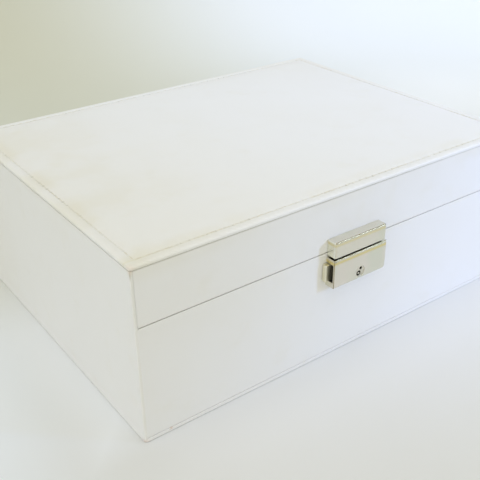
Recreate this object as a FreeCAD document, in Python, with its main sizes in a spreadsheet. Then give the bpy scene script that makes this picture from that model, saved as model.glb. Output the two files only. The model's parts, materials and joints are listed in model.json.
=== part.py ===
import FreeCAD, Part
import Sketcher
import os
import re

# Jewellery case with an L-shaped hinged lid, a press-button lock and a lift-out tray.
# Millimetres. X runs to the right, Y to the back, Z up. The origin is the centre of the underside.

SIZES = {
    # outer form
    "case_length": 250,
    "case_depth": 190,
    "wall_top": 92,
    "base_thick": 2.2,
    "base_groove": 0.15,
    "board": 6,
    "leather": 0.8,
    "corner_lip": 1.3,
    "corner_round": 2,
    "edge_round": 0.5,
    # seam between the lower front wall and the lid's strip
    "seam": 63.5,
    "seam_gap": 0.3,
    "mitre_gap": 0.12,
    # lid panel
    "lid_gap": 0.3,
    "lid_board": 1.2,
    "rim_rise": 1.7,
    "rim_round": 1.1,
    "groove_inset": 5,
    "groove_width": 1.2,
    "groove_depth": 0.35,
    "crown": 0.7,
    "crown_inset": 14,
    "foam_inset": 15,
    "foam_thick": 0.6,
    "lid_liner": 1,
    "block_width": 16,
    "block_side": 6,
    "block_pitch": 84,
    # mirror under the lid
    "frame_length": 200,
    "frame_depth": 134,
    "frame_thick": 3,
    "frame_border": 12,
    "mirror_thick": 1.8,
    "mirror_play": 0.2,
    "mirror_shift": 3,
    # velvet lining
    "liner": 1.6,
    "floor_liner": 2,
    "liner_top": 90.3,
    "lip_height": 6,
    "lip_gap": 0.8,
    "strip_liner": 1,
    # lower compartment
    "divider": 3,
    "divider_top": 33.2,
    "lower_long_place": 10,
    "lower_cross_place": 38,
    "rail_width": 6,
    "rail_height": 4,
    "rail_top": 37.7,
    "rail_length": 160,
    # lift-out tray
    "tray_rest": 0.1,
    "tray_play": 1,
    "tray_wall": 4,
    "tray_floor": 2.5,
    "tray_height": 23.7,
    "tray_long_place": -5,
    "tray_cross_front": 21,
    "tray_cross_back": 40,
    "tray_divider_drop": 3,
    "roll_radius": 6,
    "roll_pitch": 12.4,
    "roll_lift": 0.3,
    "tab_place": 20,
    "tab_width": 14,
    "tab_thick": 0.8,
    "tab_low": 8,
    "tab_rise": 5,
    # hinges
    "hinge_place": 78,
    "hinge_length": 24,
    "knuckle_radius": 1.6,
    "knuckle_out": 2,
    "knuckle_drop": 1.4,
    "knuckle_share": 7,
    "knuckle_gap": 0.3,
    "leaf_thick": 0.8,
    "leaf_low": 12,
    "leaf_reach": 17,
    "leaf_rivet_inset": 4,
    "pin_radius": 0.7,
    "pin_play": 0.05,
    "screw_radius": 0.9,
    "screw_head_radius": 1.7,
    "screw_head": 0.6,
    "screw_length": 5,
    "screw_place": 7,
    "mortise_play": 0.3,
    # lock body, on the lower front wall
    "lock_left": 17.5,
    "lock_right": 18.2,
    "lock_depth": 6,
    "lock_low": 45.3,
    "lock_high": 61.3,
    "sheet": 0.8,
    "lock_round": 1,
    "lock_corner": 2,
    "plug_place": 0.6,
    "plug_height": 49.3,
    "plug_radius": 2.95,
    "plug_sink": 0.2,
    "plug_length": 3.2,
    "collar_radius": 3.45,
    "fit_gap": 0.05,
    "key_deep": 2,
    "key_barrel_radius": 1.4,
    "key_barrel_side": 0.9,
    "key_barrel_down": 0.95,
    "key_pin_radius": 0.62,
    "key_bit_radius": 0.85,
    "key_bit_side": 0.5,
    "key_bit_up": 1.6,
    "cam_thick": 0.7,
    "cam_reach": 3,
    "cam_width": 2,
    # press button, latch bar and spring
    "button_out": 2.8,
    "button_length": 5.2,
    "button_low": 48.6,
    "button_high": 58.1,
    "button_front": 98,
    "button_back": 95.3,
    "button_play": 0.3,
    "bar_low": 53.2,
    "bar_high": 58,
    "bar_front": 96.9,
    "bar_back": 96.1,
    "bar_end": 9,
    "nose_place": 5.3,
    "nose_width": 2,
    "nose_low": 54.8,
    "nose_high": 57,
    "nose_front": 98.6,
    "spring_radius": 0.9,
    "spring_wire": 0.18,
    "spring_height": 51.4,
    "spring_out": 97,
    "stop_place": 8,
    "stop_low": 50.2,
    "stop_high": 52.7,
    "stop_front": 98.2,
    "plate_start": 12,
    # hasp, on the lid's strip
    "hasp_width": 34.6,
    "hasp_low": 62.2,
    "hasp_high": 71.1,
    "hasp_clear": 0.1,
    "hasp_plate_low": 64.2,
    "hasp_plate_high": 70.2,
    "plate_inset": 1,
    "tongue_width": 10,
    "tongue_low": 52.9,
    "tongue_bend": 66.2,
    "tongue_front": 98.4,
    "tongue_thick": 1,
    "notch_deep": 1.6,
    "notch_low": 54.4,
    "notch_high": 57.6,
    "slot_play": 0.3,
    "slot_front": 100.1,
    # rivets of lock and hasp
    "rivet_radius": 1,
    "rivet_head_radius": 1.6,
    "rivet_head": 0.5,
    "rivet_length": 6.6,
    "lock_rivet_place": 10,
    "lock_rivet_height": 48.4,
    "lock_rivet_far": 13.5,
    "lock_rivet_high": 57,
    "hasp_rivet_place": 11.5,
    "hasp_rivet_height": 67.2,
}

SHEET = "Sizes"
RING_ROLLS = 6
SPRING_TURNS = 6

# Lengths that several pieces share, as expressions in the sheet's aliases.
HALF_X = "case_length / 2"
HALF_Y = "case_depth / 2"
BOARD_X = "(case_length / 2 - leather)"
BOARD_Y = "(case_depth / 2 - leather)"
INSIDE_X = "(case_length / 2 - leather - board)"
INSIDE_Y = "(case_depth / 2 - leather - board)"
LINED_X = "(case_length / 2 - leather - board - liner)"
LINED_Y = "(case_depth / 2 - leather - board - liner)"
COVER_LOW = "(base_thick + base_groove)"
FLOOR_TOP = "(base_thick + floor_liner)"
LID_LOW = "(wall_top + lid_gap)"
LID_TOP = "(wall_top + lid_gap + lid_board)"
STRIP_LOW = "(seam + seam_gap / 2)"
FRONT_TOP = "(seam - seam_gap / 2)"
AXIS_Y = "(case_depth / 2 + knuckle_out)"
AXIS_Z = "(wall_top + lid_gap - knuckle_drop)"
SCREW_Z = "(wall_top + lid_gap - knuckle_drop - leaf_low / 2 - knuckle_radius / 2)"
LEAF_RIVET_Y = "(case_depth / 2 + knuckle_out - leaf_reach + leaf_rivet_inset)"
TRAY_X = "(case_length / 2 - leather - board - liner - tray_play)"
TRAY_Y = "(case_depth / 2 - leather - board - liner - tray_play)"
TRAY_LOW = "(rail_top + tray_rest)"
TRAY_FLOOR_TOP = "(rail_top + tray_rest + tray_floor)"
TRAY_TOP = "(rail_top + tray_rest + tray_height)"
LOCK_FRONT = "(-case_depth / 2 - lock_depth)"
PLATE_FRONT = "(-case_depth / 2 - sheet)"
MITRE_SKIN = "1.4142 * leather"

doc = FreeCAD.newDocument("jewellery_case")
sheet = doc.addObject("Spreadsheet::Sheet", SHEET)
nodes = []


def fill_sheet():
    """Write every driving size in the sheet, with its alias."""
    for row, (alias, number) in enumerate(SIZES.items(), start=1):
        sheet.set(f"A{row}", alias)
        sheet.set(f"B{row}", str(number))
        sheet.setAlias(f"B{row}", alias)
    doc.recompute()


def bound(text):
    """Turn the aliases in an expression into references to the sheet."""
    return re.sub(r"[a-z_]{2,}", lambda word: f"{SHEET}.{word.group(0)}", text)


def bind(thing, **expressions):
    """Bind properties to expressions; a double underscore in a name stands for a dot."""
    for name, text in expressions.items():
        thing.setExpression(name.replace("__", "."), bound(text))


def value(text):
    """Number that an expression has now, for a sketch's first drawing."""
    return float(sheet.evalExpression(bound(text)))


def node(thing, label):
    """Keep an object as a sub-part under this label."""
    thing.Label = label
    nodes.append(thing)
    return thing


def box(name, x_span, y_span, z_span):
    """Upright block between pairs of planes."""
    block = doc.addObject("Part::Box", name)
    bind(
        block,
        Length=f"({x_span[1]}) - ({x_span[0]})",
        Width=f"({y_span[1]}) - ({y_span[0]})",
        Height=f"({z_span[1]}) - ({z_span[0]})",
        Placement__Base__x=x_span[0],
        Placement__Base__y=y_span[0],
        Placement__Base__z=z_span[0],
    )
    return block


def rod(name, axis, start, length, radius):
    """Cylinder from a start point along X, Y or Z."""
    turns = {
        "X": FreeCAD.Rotation(FreeCAD.Vector(0, 1, 0), 90),
        "Y": FreeCAD.Rotation(FreeCAD.Vector(1, 0, 0), -90),
        "Z": FreeCAD.Rotation(),
    }
    cylinder = doc.addObject("Part::Cylinder", name)
    cylinder.Placement = FreeCAD.Placement(FreeCAD.Vector(), turns[axis])
    bind(
        cylinder,
        Radius=radius,
        Height=length,
        Placement__Base__x=start[0],
        Placement__Base__y=start[1],
        Placement__Base__z=start[2],
    )
    return cylinder


def fuse(name, pieces):
    """Union of several solids; solids apart from each other stay separate."""
    union = doc.addObject("Part::MultiFuse", name)
    union.Shapes = pieces
    return union


def cut(name, base, tool):
    """Base with the tool's volume taken away."""
    difference = doc.addObject("Part::Cut", name)
    difference.Base = base
    difference.Tool = tool
    return difference


def outline(body, name, plane, points, offset):
    """Closed polygon sketch on one of the body's own planes, moved along that plane's normal."""
    sketch = body.newObject("Sketcher::SketchObject", name)
    support = [f for f in body.Origin.OriginFeatures if f.Role == plane][0]
    sketch.AttachmentSupport = [(support, "")]
    sketch.MapMode = "FlatFace"
    bind(sketch, AttachmentOffset__Base__z=offset)
    places = [FreeCAD.Vector(value(x), value(y), 0) for x, y in points]
    for number, place in enumerate(places):
        after = places[(number + 1) % len(places)]
        sketch.addGeometry(Part.LineSegment(place, after), False)
    for number in range(len(places)):
        following = (number + 1) % len(places)
        sketch.addConstraint(Sketcher.Constraint("Coincident", number, 2, following, 1))
    for number, place in enumerate(places):
        for kind, first, text in (("DistanceX", place.x, points[number][0]),
                                  ("DistanceY", place.y, points[number][1])):
            index = sketch.addConstraint(Sketcher.Constraint(kind, -1, 1, number, 1, first))
            sketch.renameConstraint(index, f"{kind}_{number}")
            sketch.setExpression(f"Constraints.{kind}_{number}", bound(text))
    return sketch


def prism(name, plane, points, offset, length, reverse=False):
    """PartDesign body with one polygon padded from an offset plane."""
    body = doc.addObject("PartDesign::Body", name)
    sketch = outline(body, f"{name}_outline", plane, points, offset)
    pad = body.newObject("PartDesign::Pad", f"{name}_pad")
    pad.Profile = sketch
    pad.Reversed = reverse
    bind(pad, Length=length)
    doc.recompute()
    return body


def pocket(body, name, plane, points, offset, length, reverse):
    """Pocket in a body, checked to have taken something away."""
    before = body.Shape.Volume
    hollow = body.newObject("PartDesign::Pocket", name)
    hollow.Profile = outline(body, f"{name}_outline", plane, points, offset)
    hollow.Reversed = reverse
    bind(hollow, Length=length)
    doc.recompute()
    if body.Shape.Volume > before - 0.01:
        raise RuntimeError(f"{name} cut nothing")


def soften(body, name, radius, wanted):
    """Fillet the edges of a body's tip that a test picks."""
    tip = body.Tip
    chosen = [f"Edge{n}" for n, edge in enumerate(tip.Shape.Edges, start=1) if wanted(edge)]
    rounding = body.newObject("PartDesign::Fillet", name)
    rounding.Base = (tip, chosen)
    bind(rounding, Radius=radius)
    doc.recompute()


def runs_along(edge, axis):
    """True for a straight edge that runs along X, Y or Z."""
    box_of = edge.BoundBox
    lengths = {"X": box_of.XLength, "Y": box_of.YLength, "Z": box_of.ZLength}
    return all((lengths[key] > 0.01) == (key == axis) for key in lengths)


def rectangle(x_span, y_span):
    """Corners of a rectangle between pairs of lines."""
    return [(x_span[0], y_span[0]), (x_span[1], y_span[0]), (x_span[1], y_span[1]), (x_span[0], y_span[1])]


def centred(half):
    """Pair of planes either side of zero."""
    return (f"-({half})", half)


def grown(span, amount):
    """Pair of planes, each moved outwards."""
    return (f"({span[0]}) - ({amount})", f"({span[1]}) + ({amount})")


# ---- case: base, wall boards and their leatherette ----

def base_board():
    """Thin board under the walls; its edge shows below a fine groove."""
    plan = rectangle(centred(HALF_X), centred(HALF_Y))
    body = prism("base_board", "XY_Plane", plan, "0", "base_thick")
    soften(body, "base_corners", "corner_round", lambda edge: runs_along(edge, "Z"))
    node(body, "base_board")


def side_board(name, side):
    """Full-height side wall, mitred at its front end."""
    mitre_x = f"{side} * (case_length / 2 - corner_lip + 0.4142 * leather)"
    mitre_y = f"-case_depth / 2 + board + leather - corner_lip + {MITRE_SKIN}"
    points = [
        (f"{side} * {BOARD_X}", f"-{BOARD_Y}"),
        (mitre_x, f"-{BOARD_Y}"),
        (f"{side} * {INSIDE_X}", mitre_y),
        (f"{side} * {INSIDE_X}", BOARD_Y),
        (f"{side} * {BOARD_X}", BOARD_Y),
    ]
    length = "wall_top - leather - base_thick"
    node(prism(name, "XY_Plane", points, "base_thick", length), name)


def back_board():
    """Back wall between the side walls, bored for the hinge screws."""
    wall = box("back_wall", centred(INSIDE_X), (INSIDE_Y, BOARD_Y), ("base_thick", "wall_top - leather"))
    node(cut("back_board", wall, screw_holes("back_board_holes")), "back_board")


def mitre_points(sign, gap, skin):
    """The two plan points of a mitred end: on the front plane and on the inside plane."""
    front = f"{sign} * (case_length / 2 - corner_lip - {gap} - {skin} * 2.4142)"
    inside = f"{sign} * (case_length / 2 - corner_lip - {gap} - {skin} * 1.4142 - leather - board)"
    return front, inside


def mitred_front(name, low, height, gap, skin):
    """Front panel with mitred ends; skin is what the leatherette takes off each outer face."""
    left_front, left_inside = mitre_points(-1, gap, skin)
    right_front, right_inside = mitre_points(1, gap, skin)
    outer = f"-case_depth / 2 + {skin}"
    points = [
        (left_front, outer),
        (right_front, outer),
        (right_inside, f"-{INSIDE_Y}"),
        (left_inside, f"-{INSIDE_Y}"),
    ]
    return prism(name, "XY_Plane", points, low, height)


def wrap_points(gap):
    """Plan of the board under a front panel's leatherette."""
    left_front, left_inside = mitre_points(-1, gap, "leather")
    right_front, right_inside = mitre_points(1, gap, "leather")
    return [
        (left_front, f"-{BOARD_Y}"),
        (right_front, f"-{BOARD_Y}"),
        (right_inside, f"-{INSIDE_Y}"),
        (left_inside, f"-{INSIDE_Y}"),
    ]


def front_board():
    """Lower front wall, bored for the lock's rivets."""
    height = f"{FRONT_TOP} - leather - base_thick"
    panel = mitred_front("front_wall", "base_thick", height, "0", "leather")
    node(cut("front_board", panel, lock_rivet_holes("front_board_holes")), "front_board")


def front_cover():
    """Leatherette over the lower front wall's face, mitred ends and top edge."""
    panel = mitred_front("front_wrap", COVER_LOW, f"{FRONT_TOP} - {COVER_LOW}", "0", "0 * leather")
    pocket(panel, "front_wrap_hollow", "XY_Plane", wrap_points("0"), COVER_LOW,
           f"{FRONT_TOP} - leather - {COVER_LOW}", True)
    soften(panel, "front_wrap_edge", "edge_round",
           lambda edge: runs_along(edge, "X") and edge.BoundBox.YMax < value(f"-{HALF_Y}") + 0.01)
    node(cut("front_cover", panel, lock_rivet_holes("front_cover_holes")), "front_cover")


def wall_plan(outer_x, outer_y, mitre_front, mitre_inside):
    """U-shaped plan of the side and back walls, open at the front."""
    half = [
        (mitre_front, f"-{outer_y}"),
        (outer_x, f"-{outer_y}"),
        (outer_x, outer_y),
    ]
    inner = [
        (INSIDE_X, INSIDE_Y),
        (INSIDE_X, mitre_inside),
    ]
    right = [(x, y) for x, y in half]
    left = [(f"-({x})", y) for x, y in reversed(half)]
    inner_left = [(f"-({x})", y) for x, y in reversed(inner)]
    return right + left + inner_left + inner


def plan_corner(edge, y_place):
    """True for an upright edge at an outer corner of the case on this Y."""
    at_side = abs(abs(edge.BoundBox.XMin) - value(HALF_X)) < 0.01
    return runs_along(edge, "Z") and at_side and abs(edge.BoundBox.YMin - value(y_place)) < 0.01


def body_cover():
    """One piece of leatherette round the left, back and right walls, over their top edges."""
    face = wall_plan(HALF_X, HALF_Y, "case_length / 2 - corner_lip",
                     "-case_depth / 2 + leather + board - corner_lip")
    core = wall_plan(BOARD_X, BOARD_Y, "case_length / 2 - corner_lip + 0.4142 * leather",
                     f"-case_depth / 2 + leather + board - corner_lip + {MITRE_SKIN}")
    body = prism("body_wrap", "XY_Plane", face, COVER_LOW, f"wall_top - {COVER_LOW}")
    pocket(body, "body_wrap_hollow", "XY_Plane", core, COVER_LOW,
           f"wall_top - leather - {COVER_LOW}", True)
    soften(body, "body_wrap_back", "corner_round", lambda edge: plan_corner(edge, HALF_Y))
    soften(body, "body_wrap_front", "edge_round", lambda edge: plan_corner(edge, f"-{HALF_Y}"))
    tools = fuse("body_wrap_tools", [screw_holes("body_wrap_holes"), leaf_mortises()])
    node(cut("body_cover", body, tools), "body_cover")


# ---- velvet lining and lower compartment ----

def liners():
    """Velvet-covered card panels on the floor and inside the four walls."""
    height = (FLOOR_TOP, "liner_top")
    node(box("floor_liner", centred(INSIDE_X), centred(INSIDE_Y), ("base_thick", FLOOR_TOP)), "floor_liner")
    node(box("left_liner", (f"-{INSIDE_X}", f"-{LINED_X}"), centred(INSIDE_Y), height), "left_liner")
    node(box("right_liner", (LINED_X, INSIDE_X), centred(INSIDE_Y), height), "right_liner")
    node(box("back_liner", centred(LINED_X), (LINED_Y, INSIDE_Y), height), "back_liner")
    lip = (FLOOR_TOP, "seam + lip_height")
    node(box("front_liner", centred(LINED_X), (f"-{INSIDE_Y}", f"-{LINED_Y}"), lip), "front_liner")


def tray_rails():
    """Strips on the side liners that the tray stands on."""
    height = ("rail_top - rail_height", "rail_top")
    along = centred("rail_length / 2")
    left = (f"-{LINED_X}", f"-{LINED_X} + rail_width")
    right = (f"{LINED_X} - rail_width", LINED_X)
    node(box("tray_rail_left", left, along, height), "tray_rail_left")
    node(box("tray_rail_right", right, along, height), "tray_rail_right")


def lower_dividers():
    """Egg-crate dividers: one along the case and two across it, half-lapped at their crossings."""
    height = (FLOOR_TOP, "divider_top")
    half = f"({FLOOR_TOP} + divider_top) / 2"
    across = ("lower_long_place - divider / 2", "lower_long_place + divider / 2")
    long_plain = box("lower_long_plain", centred(LINED_X), across, height)
    laps = []
    for name, sign in (("left", -1), ("right", 1)):
        place = f"{sign} * lower_cross_place"
        width = (f"{place} - divider / 2", f"{place} + divider / 2")
        laps.append(box(f"lower_lap_{name}", width, across, (half, "divider_top + 1")))
        cross = box(f"lower_cross_{name}_plain", width, centred(LINED_Y), height)
        notch = box(f"lower_notch_{name}", width, across, (f"{FLOOR_TOP} - 1", half))
        label = f"lower_divider_cross_{name}"
        node(cut(label, cross, notch), label)
    node(cut("lower_divider_long", long_plain, fuse("lower_laps", laps)), "lower_divider_long")


# ---- lift-out tray ----

def tray_shell():
    """Tray floor and its four walls."""
    node(box("tray_floor", centred(TRAY_X), centred(TRAY_Y), (TRAY_LOW, TRAY_FLOOR_TOP)), "tray_floor")
    height = (TRAY_FLOOR_TOP, TRAY_TOP)
    inner_y = f"({TRAY_Y} - tray_wall)"
    inner_x = f"({TRAY_X} - tray_wall)"
    walls = {
        "tray_wall_front": (centred(TRAY_X), (f"-{TRAY_Y}", f"-{inner_y}")),
        "tray_wall_back": (centred(TRAY_X), (inner_y, TRAY_Y)),
        "tray_wall_left": ((f"-{TRAY_X}", f"-{inner_x}"), centred(inner_y)),
        "tray_wall_right": ((inner_x, TRAY_X), centred(inner_y)),
    }
    for name, (x_span, y_span) in walls.items():
        node(box(name, x_span, y_span, height), name)


def tray_dividers():
    """Long divider, with one cross divider before it and two behind it."""
    height = (TRAY_FLOOR_TOP, f"{TRAY_TOP} - tray_divider_drop")
    inner_y = f"({TRAY_Y} - tray_wall)"
    low_y = "(tray_long_place - divider / 2)"
    high_y = "(tray_long_place + divider / 2)"
    node(box("tray_divider_long", centred(f"{TRAY_X} - tray_wall"), (low_y, high_y), height),
         "tray_divider_long")
    front = ("tray_cross_front - divider / 2", "tray_cross_front + divider / 2")
    crosses = [box("tray_cross_a", front, (f"-{inner_y}", low_y), height)]
    for name, sign in (("tray_cross_b", -1), ("tray_cross_c", 1)):
        place = f"{sign} * tray_cross_back"
        span = (f"{place} - divider / 2", f"{place} + divider / 2")
        crosses.append(box(name, span, (high_y, inner_y), height))
    node(fuse("tray_dividers_cross", crosses), "tray_dividers_cross")


def ring_rolls():
    """Row of soft rolls that grip rings, side by side in the tray's front left corner."""
    start_x = f"-({TRAY_X}) + tray_wall + roll_lift"
    length = f"{TRAY_X} - tray_wall + tray_cross_front - divider / 2 - 2 * roll_lift"
    height = f"{TRAY_FLOOR_TOP} + roll_radius + roll_lift"
    rolls = []
    for number in range(RING_ROLLS):
        place = f"-({TRAY_Y}) + tray_wall + roll_radius + roll_lift + {number} * roll_pitch"
        rolls.append(rod(f"ring_roll_{number}", "X", (start_x, place, height), length, "roll_radius"))
    node(fuse("ring_rolls", rolls), "ring_rolls")


def tray_tabs():
    """Two ribbon tabs for lifting the tray, one inside each end wall."""
    inner_x = f"({TRAY_X} - tray_wall)"
    height = (f"{TRAY_TOP} - tab_low", f"{TRAY_TOP} + tab_rise")
    along = ("tab_place - tab_width / 2", "tab_place + tab_width / 2")
    left = box("tray_tab_left", (f"-{inner_x}", f"-{inner_x} + tab_thick"), along, height)
    right = box("tray_tab_right", (f"{inner_x} - tab_thick", inner_x), along, height)
    node(fuse("tray_tabs", [left, right]), "tray_tabs")


# ---- lid: panel, rolled and stitched cover, front strip ----

def lid_board():
    """Thin lid panel over the walls and the strip, bored for the hinge rivets."""
    panel = box("lid_panel", centred(BOARD_X), centred(BOARD_Y), (LID_LOW, LID_TOP))
    node(cut("lid_board", panel, leaf_rivet_holes()), "lid_board")


def lid_foam():
    """Thin foam between the lid panel and its cover."""
    plan = rectangle(centred("case_length / 2 - foam_inset"), centred("case_depth / 2 - foam_inset"))
    node(prism("lid_foam", "XY_Plane", plan, LID_TOP, "foam_thick"), "lid_foam")


def lid_cover():
    """Leatherette over the lid: a rolled rim, a sunk stitch line inside it and a crowned middle."""
    plan = rectangle(centred(HALF_X), centred(HALF_Y))
    body = prism("lid_cover", "XY_Plane", plan, LID_LOW, "rim_rise")
    pocket(body, "lid_cover_board", "XY_Plane", rectangle(centred(BOARD_X), centred(BOARD_Y)),
           LID_LOW, "lid_board", True)
    rim = f"{LID_LOW} + rim_rise"
    crown = rectangle(centred("case_length / 2 - crown_inset"), centred("case_depth / 2 - crown_inset"))
    swell = body.newObject("PartDesign::Pad", "lid_crown")
    swell.Profile = outline(body, "lid_crown_outline", "XY_Plane", crown, rim)
    bind(swell, Length="crown")
    doc.recompute()
    foam = rectangle(centred("case_length / 2 - foam_inset"), centred("case_depth / 2 - foam_inset"))
    pocket(body, "lid_cover_foam", "XY_Plane", foam, LID_TOP, "foam_thick", True)
    stitch_groove(body, rim)
    soften(body, "lid_cover_corners", "corner_round",
           lambda edge: runs_along(edge, "Z") and edge.BoundBox.XMax ** 2 > (value(HALF_X) - 0.01) ** 2)
    top = value(rim)
    soften(body, "lid_cover_rim", "rim_round", lambda edge: on_rim(edge, top))
    node(body, "lid_cover")


def on_rim(edge, top):
    """True for an edge of the lid cover's outer outline at its top."""
    place = edge.valueAt((edge.FirstParameter + edge.LastParameter) / 2)
    inset = min(value(HALF_X) - abs(place.x), value(HALF_Y) - abs(place.y))
    return edge.BoundBox.ZLength < 0.01 and abs(place.z - top) < 0.01 and inset < 1


def stitch_groove(body, rim):
    """Four straight grooves that meet in a frame inside the rim."""
    out_x = "(case_length / 2 - groove_inset + groove_width / 2)"
    out_y = "(case_depth / 2 - groove_inset + groove_width / 2)"
    in_x = f"({out_x} - groove_width)"
    in_y = f"({out_y} - groove_width)"
    spans = {
        "front": (centred(out_x), (f"-{out_y}", f"-{in_y}")),
        "back": (centred(out_x), (in_y, out_y)),
        "left": ((f"-{out_x}", f"-{in_x}"), centred(in_y)),
        "right": ((in_x, out_x), centred(in_y)),
    }
    for name, (x_span, y_span) in spans.items():
        pocket(body, f"stitch_groove_{name}", "XY_Plane", rectangle(x_span, y_span), rim,
               "groove_depth", False)


def lid_strip():
    """Front strip of the lid: board, leatherette and velvet liner."""
    board_low = f"({STRIP_LOW} + leather)"
    board = mitred_front("strip_board", board_low, f"{LID_LOW} - {board_low}", "mitre_gap", "leather")
    node(cut("lid_strip_board", board, hasp_rivet_holes("strip_board_holes")), "lid_strip_board")
    wrap = mitred_front("strip_wrap", STRIP_LOW, f"{LID_LOW} - {STRIP_LOW}", "mitre_gap", "0 * leather")
    pocket(wrap, "strip_wrap_hollow", "XY_Plane", wrap_points("mitre_gap"), LID_LOW,
           f"{LID_LOW} - {board_low}", False)
    soften(wrap, "strip_wrap_edge", "edge_round",
           lambda edge: runs_along(edge, "X") and edge.BoundBox.YMax < value(f"-{HALF_Y}") + 0.01)
    node(cut("lid_strip_cover", wrap, hasp_rivet_holes("strip_wrap_holes")), "lid_strip_cover")
    depth = (f"-{INSIDE_Y}", f"-{INSIDE_Y} + strip_liner")
    height = ("seam + lip_height + lip_gap", LID_LOW)
    node(box("lid_strip_liner", centred(f"{LINED_X} - tray_play"), depth, height), "lid_strip_liner")


def lid_blocks():
    """Glue blocks in the corner between the lid panel and the strip."""
    back = f"(-{INSIDE_Y} + strip_liner)"
    blocks = []
    for name, step in (("left", -1), ("middle", 0), ("right", 1)):
        span = (f"{step} * block_pitch - block_width / 2", f"{step} * block_pitch + block_width / 2")
        blocks.append(prism_block(f"glue_block_{name}", span, back))
    node(fuse("lid_glue_blocks", blocks), "lid_glue_blocks")


def prism_block(name, span, back):
    """Three-cornered block along X under the lid panel."""
    points = [(back, LID_LOW), (f"{back} + block_side", LID_LOW), (back, f"{LID_LOW} - block_side")]
    return prism(name, "YZ_Plane", points, span[0], f"({span[1]}) - ({span[0]})")


def lid_inside():
    """Velvet panel under the lid, with a framed mirror."""
    low = f"({LID_LOW} - lid_liner)"
    front = f"-{INSIDE_Y} + strip_liner + block_side + tray_play"
    back = f"{AXIS_Y} - leaf_reach - tray_play"
    node(box("lid_liner", centred(f"{LINED_X} - 2 * tray_play"), (front, back), (low, LID_LOW)), "lid_liner")
    frame_x = centred("frame_length / 2")
    frame_y = ("-mirror_shift - frame_depth / 2", "-mirror_shift + frame_depth / 2")
    height = (f"{low} - frame_thick", low)
    plain = box("mirror_frame_plain", frame_x, frame_y, height)
    window_x = grown(frame_x, "-frame_border")
    window_y = grown(frame_y, "-frame_border")
    window = box("mirror_window", window_x, window_y, grown(height, "1"))
    node(cut("mirror_frame", plain, window), "mirror_frame")
    node(box("mirror", grown(window_x, "-mirror_play"), grown(window_y, "-mirror_play"),
             (f"{low} - mirror_thick", low)), "mirror")


# ---- hinges ----

def hinge_places():
    """Names and X places of the left and the right hinge."""
    return (("left", "-hinge_place"), ("right", "hinge_place"))


def screw_holes(name):
    """Four holes for the screws of the lower leaves."""
    return fuse(name, back_rods(name, f"{HALF_Y} - screw_length", "screw_length + 2", "screw_radius"))


def back_rods(name, start_y, length, radius):
    """Rods along Y at the four places of the lower leaves' screws."""
    return [
        rod(f"{name}_{number}", "Y", (x_place, start_y, SCREW_Z), length, radius)
        for number, x_place in enumerate(fixing_places("-hinge_place") + fixing_places("hinge_place"))
    ]


def fixing_places(place):
    """X places of the two fixings of a leaf."""
    return [f"{place} - screw_place", f"{place} + screw_place"]


def leaf_mortises():
    """Recesses in the back wall's top leatherette under the upper leaves."""
    spans = []
    for side, place in hinge_places():
        x_span = (f"{place} - hinge_length / 2 - mortise_play", f"{place} + hinge_length / 2 + mortise_play")
        spans.append(box(f"mortise_{side}", x_span, (f"{INSIDE_Y} - 1", f"{HALF_Y} + 1"),
                         ("wall_top - leather", "wall_top + 1")))
    return fuse("leaf_mortises", spans)


def knuckles(name, place, spans, leaf, bore):
    """Hinge leaf with its knuckles, bored for the pin."""
    barrels = []
    for number, (start, length) in enumerate(spans):
        first = (f"{place} + {start}", AXIS_Y, AXIS_Z)
        barrels.append(rod(f"{name}_barrel_{number}", "X", first, length, "knuckle_radius"))
    solid = fuse(f"{name}_solid", barrels + leaf)
    long_start = (f"{place} - hinge_length", AXIS_Y, AXIS_Z)
    hole = rod(f"{name}_bore", "X", long_start, "2 * hinge_length", bore)
    return cut(f"{name}_bored", solid, hole)


def lower_leaf(side, place):
    """Lower leaf: a plate on the back wall with two outer knuckles."""
    name = f"hinge_leaf_lower_{side}"
    x_low = f"{place} - hinge_length / 2"
    x_high = f"{place} + hinge_length / 2"
    depth = (HALF_Y, f"{HALF_Y} + leaf_thick")
    plate = box(f"{name}_plate", (x_low, x_high), depth, (f"{AXIS_Z} - leaf_low", f"{AXIS_Z} - 2"))
    ears = []
    spans = (("-hinge_length / 2", "knuckle_share"), ("hinge_length / 2 - knuckle_share", "knuckle_share"))
    for number, (start, length) in enumerate(spans):
        ear_x = (f"{place} + {start}", f"{place} + {start} + {length}")
        ears.append(box(f"{name}_ear_{number}", ear_x, depth, (f"{AXIS_Z} - 3", AXIS_Z)))
    leaf = knuckles(name, place, spans, [plate] + ears, "pin_radius")
    node(cut(name, leaf, fuse(f"{name}_holes", side_rods(name, place))), name)


def side_rods(name, place):
    """Screw holes through one lower leaf's plate."""
    start_y = f"{HALF_Y} - 1"
    return [
        rod(f"{name}_hole_{number}", "Y", (x_place, start_y, SCREW_Z), "leaf_thick + 2", "screw_radius")
        for number, x_place in enumerate(fixing_places(place))
    ]


def upper_leaf(side, place):
    """Upper leaf: a plate under the lid panel with one middle knuckle."""
    name = f"hinge_leaf_upper_{side}"
    plate = box(
        f"{name}_plate",
        (f"{place} - hinge_length / 2", f"{place} + hinge_length / 2"),
        (f"{AXIS_Y} - leaf_reach", f"{HALF_Y} - 0.5"),
        (f"{LID_LOW} - leaf_thick", LID_LOW),
    )
    half = "(hinge_length / 2 - knuckle_share - knuckle_gap)"
    neck = box(f"{name}_neck", (f"{place} - {half}", f"{place} + {half}"), (f"{HALF_Y} - 1", AXIS_Y),
               (f"{LID_LOW} - leaf_thick", LID_LOW))
    leaf = knuckles(name, place, ((f"-{half}", f"2 * {half}"),), [plate, neck], "pin_radius + pin_play")
    node(cut(name, leaf, fuse(f"{name}_holes", leaf_rods(name, place))), name)


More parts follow.
